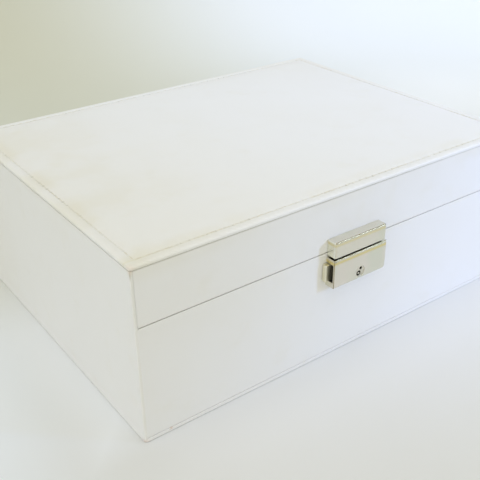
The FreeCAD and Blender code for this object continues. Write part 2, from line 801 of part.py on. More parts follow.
def leaf_rods(name, place):
    """Rivet holes through one upper leaf, and on through the lid panel."""
    low = f"{LID_LOW} - 2"
    return [
        rod(f"{name}_hole_{number}", "Z", (x_place, LEAF_RIVET_Y, low), "lid_board + 2", "rivet_radius")
        for number, x_place in enumerate(fixing_places(place))
    ]


def leaf_rivet_holes():
    """Holes in the lid panel for the upper leaves' rivets."""
    rods = []
    for side, place in hinge_places():
        rods += leaf_rods(f"lid_panel_{side}", place)
    return fuse("lid_panel_holes", rods)


def hinges():
    """Both hinges with their pins, screws and rivets."""
    for side, place in hinge_places():
        lower_leaf(side, place)
        upper_leaf(side, place)
        start = (f"{place} - hinge_length / 2", AXIS_Y, AXIS_Z)
        node(rod(f"hinge_pin_{side}", "X", start, "hinge_length", "pin_radius"), f"hinge_pin_{side}")
    shanks = back_rods("screw_shank", f"{HALF_Y} + leaf_thick - screw_length", "screw_length", "screw_radius")
    heads = back_rods("screw_heads", f"{HALF_Y} + leaf_thick", "screw_head", "screw_head_radius")
    node(fuse("hinge_screws", shanks + heads), "hinge_screws")
    low = f"{LID_LOW} - leaf_thick"
    parts = []
    for number, x_place in enumerate(fixing_places("-hinge_place") + fixing_places("hinge_place")):
        shank_start = (x_place, LEAF_RIVET_Y, low)
        head_start = (x_place, LEAF_RIVET_Y, f"{low} - rivet_head")
        parts.append(rod(f"leaf_shank_{number}", "Z", shank_start, "leaf_thick + lid_board", "rivet_radius"))
        parts.append(rod(f"leaf_head_{number}", "Z", head_start, "rivet_head", "rivet_head_radius"))
    node(fuse("hinge_rivets", parts), "hinge_rivets")


# ---- lock body ----

def lock_rivet_spots():
    """X and Z places of the lock's three rivets."""
    return (("-lock_rivet_place", "lock_rivet_height"), ("lock_rivet_place", "lock_rivet_height"),
            ("lock_rivet_far", "lock_rivet_high"))


def hasp_rivet_spots():
    """X and Z places of the hasp's two rivets."""
    return (("-hasp_rivet_place", "hasp_rivet_height"), ("hasp_rivet_place", "hasp_rivet_height"))


def front_rods(name, spots, start_y, length, radius):
    """Rods along Y at the given places on the front."""
    return [
        rod(f"{name}_{number}", "Y", (x_place, start_y, z_place), length, radius)
        for number, (x_place, z_place) in enumerate(spots)
    ]


def lock_rivet_holes(name):
    """Holes for the lock's rivets through the front wall."""
    start_y = f"-{HALF_Y} - 1"
    return fuse(name, front_rods(name, lock_rivet_spots(), start_y, "rivet_length + 1", "rivet_radius"))


def hasp_rivet_holes(name):
    """Holes for the hasp's rivets through the lid's strip."""
    start_y = f"-{HALF_Y} - 1"
    return fuse(name, front_rods(name, hasp_rivet_spots(), start_y, "rivet_length + 1", "rivet_radius"))


def rivets(name, spots):
    """Rivets with flat heads on a back plate, clenched inside the wall."""
    shanks = front_rods(f"{name}_shank", spots, PLATE_FRONT, "sheet + rivet_length", "rivet_radius")
    head_y = f"{PLATE_FRONT} - rivet_head"
    heads = front_rods(f"{name}_head", spots, head_y, "rivet_head", "rivet_head_radius")
    node(fuse(name, shanks + heads), name)


def pressed_shell(name, x_span, back, low, high):
    """Pressed sheet-metal box, open towards the wall, with soft outer edges."""
    plan = rectangle(x_span, (low, high))
    body = prism(name, "XZ_Plane", plan, f"-({back})", f"{back} - {LOCK_FRONT}")
    inner = rectangle(grown(x_span, "-sheet"), (f"{low} + sheet", f"{high} - sheet"))
    pocket(body, f"{name}_hollow", "XZ_Plane", inner, f"-({back})", f"{back} - {LOCK_FRONT} - sheet", True)
    return body


def outer_corner(edge, x_place, z_place):
    """True for an edge along Y at this X and Z."""
    near = abs(edge.BoundBox.XMin - value(x_place)) < 0.01 and abs(edge.BoundBox.ZMin - value(z_place)) < 0.01
    return runs_along(edge, "Y") and near


def front_face_edge(edge):
    """True for an edge of a pressed shell's front face."""
    return edge.BoundBox.YMax < value(LOCK_FRONT) + 0.01


def lock_shell():
    """Lock's shell with its tongue slot, button slot and plug hole."""
    body = pressed_shell("lock_case", ("-lock_left", "lock_right"), f"-{HALF_Y}", "lock_low", "lock_high")
    soften(body, "lock_case_corner", "lock_corner", lambda edge: outer_corner(edge, "lock_right", "lock_low"))
    soften(body, "lock_case_face", "edge_round", front_face_edge)
    slot_depth = ("-slot_front", "-tongue_front + tongue_thick + slot_play")
    tongue_slot = box("tongue_slot", centred("tongue_width / 2 + slot_play"), slot_depth,
                      ("lock_high - 2", "lock_high + 1"))
    button_slot = box("button_slot", ("-lock_left - 1", "-lock_left + 2"),
                      (f"{LOCK_FRONT} + sheet", f"-{HALF_Y} + 1"),
                      ("button_low - button_play", "button_high + button_play"))
    plug_hole = rod("plug_hole", "Y", ("plug_place", f"{LOCK_FRONT} - 1", "plug_height"), "3",
                    "plug_radius + fit_gap")
    tools = fuse("lock_case_tools", [tongue_slot, button_slot, plug_hole])
    node(cut("lock_shell", body, tools), "lock_shell")


def lock_inside():
    """Back plate with its spring stop, the plug's collar and the return spring."""
    width = ("-plate_start", "lock_right - sheet - plate_inset")
    height = ("lock_low + sheet + plate_inset", "lock_high - sheet - plate_inset")
    plate = box("lock_plate_plain", width, (PLATE_FRONT, f"-{HALF_Y}"), height)
    stop = box("spring_stop", ("-stop_place", "-stop_place + sheet"), ("-stop_front", PLATE_FRONT),
               ("stop_low", "stop_high"))
    holes = lock_rivet_holes("lock_plate_holes")
    node(cut("lock_back_plate", fuse("lock_plate_stop", [plate, stop]), holes), "lock_back_plate")
    start = ("plug_place", f"{LOCK_FRONT} + sheet", "plug_height")
    ring = rod("collar_ring", "Y", start, "plug_length - sheet + plug_sink", "collar_radius")
    hole = rod("collar_hole", "Y", start, "5", "plug_radius + fit_gap")
    trim = box("collar_trim", centred("2 * collar_radius"), (LOCK_FRONT, f"-{HALF_Y}"),
               ("lock_low - 2", "lock_low + sheet"))
    node(cut("lock_plug_collar", ring, fuse("collar_tools", [hole, trim])), "lock_plug_collar")
    rivets("lock_rivets", lock_rivet_spots())


def latch_spring():
    """Compression spring between the button's inner end and the stop, its helix along X."""
    start_x = value("-lock_left - button_out + button_length")
    length = value("-stop_place") - start_x
    wire = value("spring_wire")
    radius = value("spring_radius")
    coil = Part.makeHelix((length - 2 * wire) / SPRING_TURNS, length - 2 * wire, radius)
    section = Part.Wire(Part.makeCircle(wire, FreeCAD.Vector(radius, 0, 0), FreeCAD.Vector(0, 1, 0)))
    spring = doc.addObject("Part::Feature", "latch_spring")
    spring.Shape = Part.Wire(coil.Edges).makePipeShell([section], True, True)
    place = FreeCAD.Vector(start_x + wire, -value("spring_out"), value("spring_height"))
    spring.Placement = FreeCAD.Placement(place, FreeCAD.Rotation(FreeCAD.Vector(0, 1, 0), 90))
    node(spring, "latch_spring")


# ---- moving pieces of the lock ----

def lock_button():
    """Press button standing out of the lock's left end."""
    end = "-lock_left - button_out"
    plan = rectangle((end, f"{end} + button_length"), ("-button_front", "-button_back"))
    body = prism("lock_button", "XY_Plane", plan, "button_low", "button_high - button_low")
    outer = value(end) + 0.01
    soften(body, "lock_button_edges", "edge_round", lambda edge: edge.BoundBox.XMax < outer)
    node(body, "lock_button")


def latch_bar():
    """Flat bar behind the tongue, with a nose that reaches past the tongue's notched edge."""
    start = "-lock_left - button_out + button_length"
    bar = box("latch_bar_flat", (start, "bar_end"), ("-bar_front", "-bar_back"), ("bar_low", "bar_high"))
    nose = box("latch_bar_nose", ("nose_place", "nose_place + nose_width"), ("-nose_front", "-bar_front"),
               ("nose_low", "nose_high"))
    node(fuse("latch_bar", [bar, nose]), "latch_bar")


def key_plug():
    """Turning plug, its keyhole a barrel hole round a pin and a smaller hole for the key's bit."""
    face = f"({LOCK_FRONT} + plug_sink)"
    plug = rod("key_plug_disc", "Y", ("plug_place", face, "plug_height"), "plug_length", "plug_radius")
    barrel_x = "plug_place - key_barrel_side"
    barrel_z = "plug_height - key_barrel_down"
    outside = f"{face} - 1"
    barrel = rod("key_barrel", "Y", (barrel_x, outside, barrel_z), "key_deep + 1", "key_barrel_radius")
    pin = rod("key_pin", "Y", (barrel_x, outside, barrel_z), "key_deep + 1", "key_pin_radius")
    bit = rod("key_bit", "Y", ("plug_place + key_bit_side", outside, "plug_height + key_bit_up"),
              "key_deep + 1", "key_bit_radius")
    keyhole = fuse("keyhole", [cut("key_ring", barrel, pin), bit])
    node(cut("key_plug", plug, keyhole), "key_plug")
    back = f"({face} + plug_length)"
    width = ("plug_place - cam_reach", "plug_place + cam_width / 2")
    height = ("plug_height - cam_width / 2", "plug_height + cam_width / 2")
    node(box("key_cam", width, (back, f"{back} + cam_thick"), height), "key_cam")


# ---- hasp on the lid's strip ----

def hasp_corner(edge, x_span):
    """True for the upright edges at both ends of the hasp's front face."""
    ends = [abs(edge.BoundBox.XMin - value(place)) < 0.01 for place in x_span]
    return runs_along(edge, "Z") and front_face_edge(edge) and any(ends)


def hasp_shell():
    """Hasp's shell with the slot that its tongue hangs through."""
    x_span = centred("hasp_width / 2")
    body = pressed_shell("hasp_case", x_span, f"-{HALF_Y} - hasp_clear", "hasp_low", "hasp_high")
    soften(body, "hasp_case_uprights", "lock_round", lambda edge: hasp_corner(edge, x_span))
    soften(body, "hasp_case_face", "edge_round", front_face_edge)
    slot = box("hasp_slot", centred("tongue_width / 2"), ("-tongue_front", "-tongue_front + tongue_thick"),
               ("hasp_low - 1", "hasp_low + sheet"))
    node(cut("hasp_shell", body, slot), "hasp_shell")


def hasp_inside():
    """Hasp's back plate, cranked tongue and rivets."""
    width = centred("hasp_width / 2 - sheet - plate_inset")
    height = ("hasp_plate_low", "hasp_plate_high")
    plate = box("hasp_plate_plain", width, (PLATE_FRONT, f"-{HALF_Y}"), height)
    holes = hasp_rivet_holes("hasp_plate_holes")
    node(cut("hasp_back_plate", plate, holes), "hasp_back_plate")
    rivets("hasp_rivets", hasp_rivet_spots())
    points = [
        ("-tongue_front", "tongue_low"),
        ("-tongue_front + tongue_thick", "tongue_low"),
        ("-tongue_front + tongue_thick", "tongue_bend - tongue_thick"),
        (PLATE_FRONT, "tongue_bend - tongue_thick"),
        (PLATE_FRONT, "tongue_bend"),
        ("-tongue_front", "tongue_bend"),
    ]
    strap = prism("tongue_strap", "YZ_Plane", points, "-tongue_width / 2", "tongue_width")
    notch = box("tongue_notch", ("tongue_width / 2 - notch_deep", "tongue_width / 2 + 1"),
                ("-tongue_front - 1", "-tongue_front + tongue_thick + 1"), ("notch_low", "notch_high"))
    node(cut("hasp_tongue", strap, notch), "hasp_tongue")


def build():
    """Make every sub-part of the case."""
    fill_sheet()
    base_board()
    side_board("left_side_board", -1)
    side_board("right_side_board", 1)
    back_board()
    front_board()
    front_cover()
    body_cover()
    liners()
    tray_rails()
    lower_dividers()
    tray_shell()
    tray_dividers()
    ring_rolls()
    tray_tabs()
    lid_board()
    lid_foam()
    lid_cover()
    lid_strip()
    lid_blocks()
    lid_inside()
    hinges()
    lock_shell()
    lock_inside()
    latch_spring()
    lock_button()
    latch_bar()
    key_plug()
    hasp_shell()
    hasp_inside()
    doc.recompute()


def check():
    """Stop at any failed feature or any sub-part without a sound solid."""
    for thing in doc.Objects:
        if "Invalid" in thing.State or "Error" in thing.State:
            raise RuntimeError(f"{thing.Name} failed: {thing.State}")
    for thing in nodes:
        if thing.Shape.isNull() or not thing.Shape.isValid() or not thing.Shape.Solids:
            raise RuntimeError(f"{thing.Label} has no valid solid")


def export():
    """Write each sub-part to its own file."""
    os.makedirs("parts", exist_ok=True)
    for thing in nodes:
        thing.Shape.exportStep(f"parts/{thing.Label}.step")


build()
check()
export()
print(len(nodes), "sub-parts written")
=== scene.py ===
"""Looks of the travel jewelry case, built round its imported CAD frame. Metres, in the CAD frame."""

import json
import math
import random

import bpy
import numpy as np
from mathutils import Matrix, Vector, noise

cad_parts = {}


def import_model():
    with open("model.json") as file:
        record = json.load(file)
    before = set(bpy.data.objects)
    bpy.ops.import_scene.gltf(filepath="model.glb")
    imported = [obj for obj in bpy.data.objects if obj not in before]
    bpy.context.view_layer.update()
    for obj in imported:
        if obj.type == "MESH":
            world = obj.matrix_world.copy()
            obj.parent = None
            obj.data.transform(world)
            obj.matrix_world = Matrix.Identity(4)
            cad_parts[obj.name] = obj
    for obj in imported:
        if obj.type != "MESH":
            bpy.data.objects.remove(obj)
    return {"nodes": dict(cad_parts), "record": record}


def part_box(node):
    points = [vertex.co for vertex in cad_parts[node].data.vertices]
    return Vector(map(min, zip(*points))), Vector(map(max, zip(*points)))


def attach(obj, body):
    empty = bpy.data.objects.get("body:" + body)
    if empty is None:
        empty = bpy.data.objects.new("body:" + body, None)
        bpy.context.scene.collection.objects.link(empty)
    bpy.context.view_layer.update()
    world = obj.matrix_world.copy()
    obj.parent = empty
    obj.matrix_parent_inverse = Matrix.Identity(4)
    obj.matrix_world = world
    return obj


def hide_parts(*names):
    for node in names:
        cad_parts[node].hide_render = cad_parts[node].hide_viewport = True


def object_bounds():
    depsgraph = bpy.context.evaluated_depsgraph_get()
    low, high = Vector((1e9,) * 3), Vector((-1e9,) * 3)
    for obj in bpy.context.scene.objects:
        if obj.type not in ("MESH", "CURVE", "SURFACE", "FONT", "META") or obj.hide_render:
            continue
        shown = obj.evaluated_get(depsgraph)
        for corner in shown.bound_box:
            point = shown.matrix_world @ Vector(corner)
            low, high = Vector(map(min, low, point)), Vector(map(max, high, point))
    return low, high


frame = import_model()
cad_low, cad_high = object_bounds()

MM = 0.001
SEED = 7
NODES = frame["nodes"]
SLOT_OF = {part["node"]: part["material_slot"] for part in frame["record"]["subparts"]}

# ---------------------------------------------------------------- shader helpers


def start(name):
    """A new node material: its node tree, its surface shader and its object coordinates."""
    material = bpy.data.materials.new(name)
    material.use_nodes = True
    tree = material.node_tree
    coords = tree.nodes.new("ShaderNodeTexCoord").outputs["Object"]
    return material, tree, tree.nodes["Principled BSDF"], coords


def add(tree, kind, inputs=None, **settings):
    """A shader node with its settings, and its inputs either linked or set."""
    made = tree.nodes.new("ShaderNode" + kind)
    for name, value in settings.items():
        setattr(made, name, value)
    for name, value in (inputs or {}).items():
        plug(tree, made.inputs[name], value)
    return made


def plug(tree, socket, value):
    if isinstance(value, bpy.types.NodeSocket):
        tree.links.new(value, socket)
    else:
        socket.default_value = value


def set_all(surface, **values):
    """Numbers that are the same all over a surface go on its own sockets."""
    for name, value in values.items():
        surface.inputs[name.replace("_", " ")].default_value = value


def math_node(tree, operation, a, b=0.0):
    return add(tree, "Math", {0: a, 1: b}, operation=operation).outputs[0]


def product(tree, *factors):
    """All the factors multiplied, in order."""
    total = factors[0]
    for factor in factors[1:]:
        total = math_node(tree, "MULTIPLY", total, factor)
    return total


def noise_node(tree, coords, scale, detail=3.0, roughness=0.5):
    inputs = {"Vector": coords, "Scale": scale, "Detail": detail, "Roughness": roughness}
    return add(tree, "TexNoise", inputs).outputs[0]


def stretched(tree, coords, scale):
    return add(tree, "Mapping", {"Vector": coords, "Scale": scale}).outputs[0]


def spread(tree, value, low, high, to_low=0.0, to_high=1.0):
    """value carried smoothly from low..high to to_low..to_high, and held past the ends."""
    inputs = {"Value": value, 1: low, 2: high, 3: to_low, 4: to_high}
    return add(tree, "MapRange", inputs, interpolation_type="SMOOTHSTEP").outputs[0]


def blended(tree, share, a, b, how="MIX"):
    made = add(tree, "Mix", data_type="RGBA", blend_type=how)
    for index, value in ((0, share), (6, a), (7, b)):
        if index and not isinstance(value, bpy.types.NodeSocket):
            value = (*value, 1.0)
        plug(tree, made.inputs[index], value)
    return made.outputs[2]


def bumped(tree, height, strength, distance, below=None):
    inputs = {"Height": height, "Strength": strength, "Distance": distance}
    if below is not None:
        inputs["Normal"] = below
    return add(tree, "Bump", inputs).outputs[0]


def part_of(tree, coords, axis):
    return add(tree, "SeparateXYZ", {0: coords}).outputs[axis]


def near_plane(tree, coords, axis, place, width):
    """1 at a plane across an axis, falling to 0 at width from it."""
    away = math_node(tree, "ABSOLUTE", math_node(tree, "SUBTRACT", part_of(tree, coords, axis), place))
    return spread(tree, away, 0.0, width, 1.0, 0.0)


def near_point(tree, coords, place, reach, axes=(1, 1, 1)):
    """1 at a point, falling to 0 at reach from it. With axes (0, 1, 1), the same for a line along X."""
    away = add(tree, "VectorMath", {0: coords, 1: place}, operation="SUBTRACT").outputs[0]
    kept = add(tree, "VectorMath", {0: away, 1: axes}, operation="MULTIPLY").outputs[0]
    length = add(tree, "VectorMath", {0: kept}, operation="LENGTH").outputs["Value"]
    return spread(tree, length, 0.0, reach, 1.0, 0.0)


def within(tree, coords, low, high, edge=0.0003):
    """1 inside a box, falling to 0 at its faces."""
    depth = None
    for axis in range(3):
        part = part_of(tree, coords, axis)
        for near, far in ((part, low[axis]), (high[axis], part)):
            inset = math_node(tree, "SUBTRACT", near, far)
            depth = inset if depth is None else math_node(tree, "MINIMUM", depth, inset)
    return spread(tree, depth, 0.0, edge)


# ---------------------------------------------------------------- materials

WHITE = (0.84, 0.832, 0.79)
YELLOWED = (0.76, 0.72, 0.56)
# painted shade: the colour laid in the leather's gaps, creases, needle holes and foot, and in the grooves of
# the thread's twist
PAINTED_SHADE = (0.30, 0.27, 0.19)
SCUFF = (0.70, 0.50, 0.34)
SPECK = (0.10, 0.09, 0.07)
# tarnish on chips, and painted shade with some oil inside hollows
TARNISH_AND_SHADE = (0.035, 0.035, 0.03)
# painted dark reflection along the rounded metal edges
DARK_EDGE_REFLECTION = (0.25, 0.20, 0.08)
GILT = (0.76, 0.63, 0.21)
# painted highlight for the hasp's rounded left edge
HASP_EDGE_HIGHLIGHT = (0.89, 0.90, 0.81)
HANDLED = (0.72, 0.60, 0.34)
# how far the second set of noises of the leather is moved from the first
DRIFT = (0.31, 0.17, 0.53)
# the pebbles of the leather's grain: cells per metre, and how far their edges wander, in metres
PEBBLE_SCALE = 1150.0
PEBBLE_JITTER = 0.0006
# the brushing of the metal: noise cells per metre along X, Y and Z
BRUSHING = (60.0, 1500.0, 1500.0)


def leatherette(name, yellow_planes=(), painted_shade_planes=(), scuffs=(), painted_shadow_streak=None, mask=None):
    """White coated faux leather: pebbled grain, faint yellowing, specks, and painted shade in its creases,
    gaps and needle holes.

    Planes: (axis, place, width, share); painted_shade_planes darken gaps and the floor contact with painted
    shade. scuffs: (place, reach, share).
    painted_shadow_streak: (place, axes, reach, share), a painted shadow. mask: an attribute that says where
    the needle holes are, darkened with painted shade.
    """
    material, tree, surface, coords = start(name)
    drift = add(tree, "VectorMath", {0: coords, 1: DRIFT}, operation="ADD").outputs[0]
    cloud = noise_node(tree, coords, 11.0, 4.0)
    mottle = noise_node(tree, drift, 70.0, 4.0)
    colour = blended(tree, spread(tree, cloud, 0.42, 0.72, 0.0, 0.13), WHITE, YELLOWED)
    colour = blended(tree, spread(tree, mottle, 0.55, 0.75, 0.0, 0.10), colour, YELLOWED)
    for axis, place, width, share in yellow_planes:
        patchy = spread(tree, noise_node(tree, drift, 24.0), 0.40, 0.62, 0.15, 1.0)
        reach = near_plane(tree, coords, axis, place, width)
        colour = blended(tree, product(tree, reach, patchy, share), colour, YELLOWED)
    for place, reach, share in scuffs:
        ragged = spread(tree, noise_node(tree, coords, 420.0), 0.35, 0.65, 0.4, 1.0)
        rubbed = product(tree, near_point(tree, coords, place, reach), ragged, share)
        colour = blended(tree, rubbed, colour, SCUFF)
    # the painted shade grows weaker towards the right, where more light falls
    shade_fade = spread(tree, part_of(tree, coords, 0), 0.0, 0.12, 1.0, 0.4)
    # painted shade along gaps, creases and the floor contact
    for axis, place, width, share in painted_shade_planes:
        shade_share = product(tree, near_plane(tree, coords, axis, place, width), share, shade_fade)
        colour = blended(tree, shade_share, colour, PAINTED_SHADE)
    # a painted shadow streak
    if painted_shadow_streak:
        place, axes, reach, share = painted_shadow_streak
        shade_share = product(tree, near_point(tree, coords, place, reach, axes), share)
        colour = blended(tree, shade_share, colour, PAINTED_SHADE)
    # painted shade in the needle holes
    if mask:
        dark = add(tree, "Attribute", attribute_name=mask).outputs["Fac"]
        uneven = spread(tree, noise_node(tree, coords, 95.0), 0.42, 0.66, 0.2, 1.0)
        colour = blended(tree, product(tree, dark, uneven), colour, PAINTED_SHADE)
    cells = add(tree, "TexVoronoi", {"Vector": drift, "Scale": 34.0})
    chosen = spread(tree, part_of(tree, cells.outputs["Color"], 0), 0.86, 0.87)
    dot = spread(tree, cells.outputs["Distance"], 0.008, 0.016, 0.75, 0.0)
    colour = blended(tree, product(tree, chosen, dot), colour, SPECK)
    tree.links.new(colour, surface.inputs["Base Color"])
    jitter = add(tree, "TexNoise", {"Vector": coords, "Scale": 300.0}).outputs["Color"]
    warped = blended(tree, PEBBLE_JITTER, coords, jitter, "ADD")
    grain = add(tree, "TexVoronoi", {"Vector": warped, "Scale": PEBBLE_SCALE}, feature="DISTANCE_TO_EDGE")
    pebbles = spread(tree, grain.outputs["Distance"], 0.0, 0.22)
    normal = bumped(tree, pebbles, 0.16, 0.00012)
    normal = bumped(tree, noise_node(tree, coords, 90.0, 2.0), 0.10, 0.0012, normal)
    tree.links.new(normal, surface.inputs["Normal"])
    tree.links.new(spread(tree, mottle, 0.3, 0.7, 0.50, 0.62), surface.inputs["Roughness"])
    set_all(surface, Specular_IOR_Level=0.24, Sheen_Weight=0.04, Sheen_Roughness=0.4)
    return material


def velvet(name, base, deep):
    """Short-pile velvet: brushed patches, fine pile and a soft edge sheen."""
    material, tree, surface, coords = start(name)
    brushed = noise_node(tree, stretched(tree, coords, (1.0, 0.55, 1.0)), 46.0, 3.0)
    pile = noise_node(tree, coords, 2600.0, 2.0)
    colour = blended(tree, spread(tree, brushed, 0.36, 0.68, 0.0, 0.38), base, deep)
    colour = blended(tree, spread(tree, pile, 0.35, 0.7, 0.0, 0.35), colour, deep)
    tree.links.new(colour, surface.inputs["Base Color"])
    normal = bumped(tree, pile, 0.35, 0.0002)
    normal = bumped(tree, brushed, 0.18, 0.0015, normal)
    tree.links.new(normal, surface.inputs["Normal"])
    tree.links.new(spread(tree, brushed, 0.3, 0.7, 0.82, 0.95), surface.inputs["Roughness"])
    set_all(surface, Specular_IOR_Level=0.15, Sheen_Weight=0.45, Sheen_Roughness=0.35)
    return material


def satin(name):
    """Satin ribbon with fine cross ribs."""
    material, tree, surface, coords = start(name)
    ribs = add(tree, "TexWave", {"Vector": coords, "Scale": 620.0, "Distortion": 0.6}, bands_direction="Z")
    threads = noise_node(tree, stretched(tree, coords, (400.0, 2600.0, 300.0)), 1.0)
    colour = blended(tree, spread(tree, threads, 0.3, 0.7), (0.83, 0.76, 0.63), (0.71, 0.62, 0.48))
    tree.links.new(colour, surface.inputs["Base Color"])
    normal = bumped(tree, ribs.outputs["Fac"], 0.3, 0.0001)
    tree.links.new(normal, surface.inputs["Normal"])
    tree.links.new(spread(tree, threads, 0.3, 0.7, 0.32, 0.48), surface.inputs["Roughness"])
    set_all(surface, Specular_IOR_Level=0.5, Sheen_Weight=0.2)
    return material


def thread(name):
    """Twisted sewing thread, a little yellowed."""
    material, tree, surface, coords = start(name)
    wave = {"Vector": coords, "Scale": 900.0, "Distortion": 1.5}
    twist = add(tree, "TexWave", wave, bands_direction="DIAGONAL").outputs["Fac"]
    age = noise_node(tree, coords, 55.0)
    colour = blended(tree, spread(tree, age, 0.35, 0.65), (0.82, 0.80, 0.72), (0.76, 0.71, 0.58))
    to_right = spread(tree, part_of(tree, coords, 0), -0.03, 0.09, 0.0, 0.7)
    handled = product(tree, to_right, near_plane(tree, coords, 1, cad_low.y, 12 * MM))
    colour = blended(tree, handled, colour, HANDLED)
    # painted shade in the grooves of the twist
    colour = blended(tree, spread(tree, twist, 0.2, 0.8, 0.0, 0.14), colour, PAINTED_SHADE)
    tree.links.new(colour, surface.inputs["Base Color"])
    tree.links.new(bumped(tree, twist, 0.6, 0.0001), surface.inputs["Normal"])
    tree.links.new(spread(tree, age, 0.3, 0.7, 0.6, 0.75), surface.inputs["Roughness"])
    return material


def metal(name, base, shade, polish, bands=(), edges=(), chips=(), inside=None):
    """Plated or bare sheet metal: fine brushing, clouded plating, other tones where the plating is rubbed,
    painted highlights, painted dark reflections along edges, and painted shade in hollows.

    bands: (axis, place, width, share, tone) across an axis. edges: (place, axes, width, share), painted dark
    reflection.
    chips: (place, reach) of bare spots. inside: the low and high corners of a hollow darkened with painted
    shade and oil.
    """
    material, tree, surface, coords = start(name)
    lines = noise_node(tree, stretched(tree, coords, BRUSHING), 1.0, 3.0)
    cloud = noise_node(tree, coords, 75.0, 3.0)
    colour = blended(tree, spread(tree, cloud, 0.35, 0.65), base, shade)
    # bands of another tone: gilt, and a painted highlight
    for axis, place, width, share, tone in bands:
        tone_share = product(tree, near_plane(tree, coords, axis, place, width), share)
        colour = blended(tree, tone_share, colour, tone)
    # painted dark reflection along rounded edges
    for place, axes, width, share in edges:
        tone_share = product(tree, near_point(tree, coords, place, width, axes), share)
        colour = blended(tree, tone_share, colour, DARK_EDGE_REFLECTION)
    for place, reach in chips:
        colour = blended(tree, near_point(tree, coords, place, reach), colour, TARNISH_AND_SHADE)
    # painted shade, with some oil, inside the hollow
    if inside:
        colour = blended(tree, within(tree, coords, *inside), colour, TARNISH_AND_SHADE)
    tree.links.new(colour, surface.inputs["Base Color"])
    tree.links.new(bumped(tree, lines, 0.04, 0.00002), surface.inputs["Normal"])
    rough = spread(tree, lines, 0.3, 0.7, polish, polish + 0.05)
    tree.links.new(rough, surface.inputs["Roughness"])
    set_all(surface, Metallic=1.0)
    return material


def board(name, base, fleck, scale):
    """Cut fibre board: pressed flecks and a rough surface."""
    material, tree, surface, coords = start(name)
    fibres = noise_node(tree, stretched(tree, coords, (scale, scale * 0.5, scale)), 1.0, 5.0, 0.65)
    colour = blended(tree, spread(tree, fibres, 0.35, 0.65), base, fleck)
    tree.links.new(colour, surface.inputs["Base Color"])
    tree.links.new(bumped(tree, fibres, 0.4, 0.0002), surface.inputs["Normal"])
    tree.links.new(spread(tree, fibres, 0.3, 0.7, 0.75, 0.95), surface.inputs["Roughness"])
    return material


def foam(name):
    """Open-cell foam sheet."""
    material, tree, surface, coords = start(name)
    cells = add(tree, "TexVoronoi", {"Vector": coords, "Scale": 1400.0})
    depth = cells.outputs["Distance"]
    colour = blended(tree, spread(tree, depth, 0.1, 0.6), (0.90, 0.88, 0.78), (0.70, 0.67, 0.56))
    tree.links.new(colour, surface.inputs["Base Color"])
    tree.links.new(bumped(tree, depth, 0.5, 0.0003), surface.inputs["Normal"])
    tree.links.new(spread(tree, depth, 0.0, 0.6, 0.8, 0.95), surface.inputs["Roughness"])
    return material


def mirror_glass(name):
    """Silvered glass with faint wiping marks."""
    material, tree, surface, coords = start(name)
    marks = noise_node(tree, stretched(tree, coords, (14.0, 40.0, 14.0)), 1.0, 4.0)
    colour = blended(tree, spread(tree, marks, 0.4, 0.7), (0.90, 0.925, 0.92), (0.86, 0.89, 0.885))
    tree.links.new(colour, surface.inputs["Base Color"])
    tree.links.new(spread(tree, marks, 0.45, 0.75, 0.012, 0.07), surface.inputs["Roughness"])
    set_all(surface, Metallic=1.0)
    return material


# ---------------------------------------------------------------- mesh helpers


def mesh_object(name, points, faces, material, body):
    mesh = bpy.data.meshes.new(name)
    mesh.from_pydata([tuple(p) for p in points], [], faces)
    mesh.polygons.foreach_set("use_smooth", [True] * len(mesh.polygons))
    mesh.materials.append(material)
    made = bpy.data.objects.new(name, mesh)
    bpy.context.scene.collection.objects.link(made)
    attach(made, body)
    return made


def give_attribute(made, name, values):
    attribute = made.data.attributes.new(name, "FLOAT", "POINT")
    attribute.data.foreach_set("value", np.asarray(values, np.float32))


def ring_faces(first, second, count):
    """Quads between two closed rows of points."""
    return [
        (first + i, first + (i + 1) % count, second + (i + 1) % count, second + i)
        for i in range(count)
    ]


def tube(points, radii, across, sides):
    """A closed tube along points. across is a direction that its path never runs along."""
    verts, faces = [], []
    for i, centre in enumerate(points):
        ahead = (points[min(i + 1, len(points) - 1)] - points[max(i - 1, 0)]).normalized()
        side = ahead.cross(across).normalized()
        up = side.cross(ahead)
        for k in range(sides):
            turn = 2 * math.pi * k / sides
            verts.append(centre + (side * math.cos(turn) + up * math.sin(turn)) * radii[i])
    for i in range(len(points) - 1):
        faces += ring_faces(i * sides, (i + 1) * sides, sides)
    faces.append(tuple(reversed(range(sides))))
    faces.append(tuple(range((len(points) - 1) * sides, len(points) * sides)))
    return verts, faces


def gather(parts):
    """Several (points, faces) as one."""
    verts, faces = [], []
    for points, polygons in parts:
        faces += [tuple(i + len(verts) for i in polygon) for polygon in polygons]
        verts += points
    return verts, faces


def waver(place, scale, height):
    """A smooth random height at a place, the same on every run."""
    return height * noise.noise(Vector(place) * scale)


# ---------------------------------------------------------------- lid cover

STITCH_IN = 5.0 * MM
STITCHES_X, STITCHES_Y = 53, 40
COUNT_X, COUNT_Y = 332, 252
LID_CORNER = 1.6 * MM
PAD_IN = 14.0 * MM
HOLE_REACH = 0.48 * MM
HOLE_DARKNESS = 0.95
CORNER_REACH = 16 * MM
HOLE_DEPTH = 0.11 * MM
PUCKER_DEPTH = 0.07 * MM
PUCKER_IN, PUCKER_WIDTH = 6.9 * MM, 1.5 * MM
CROWN = 0.16 * MM

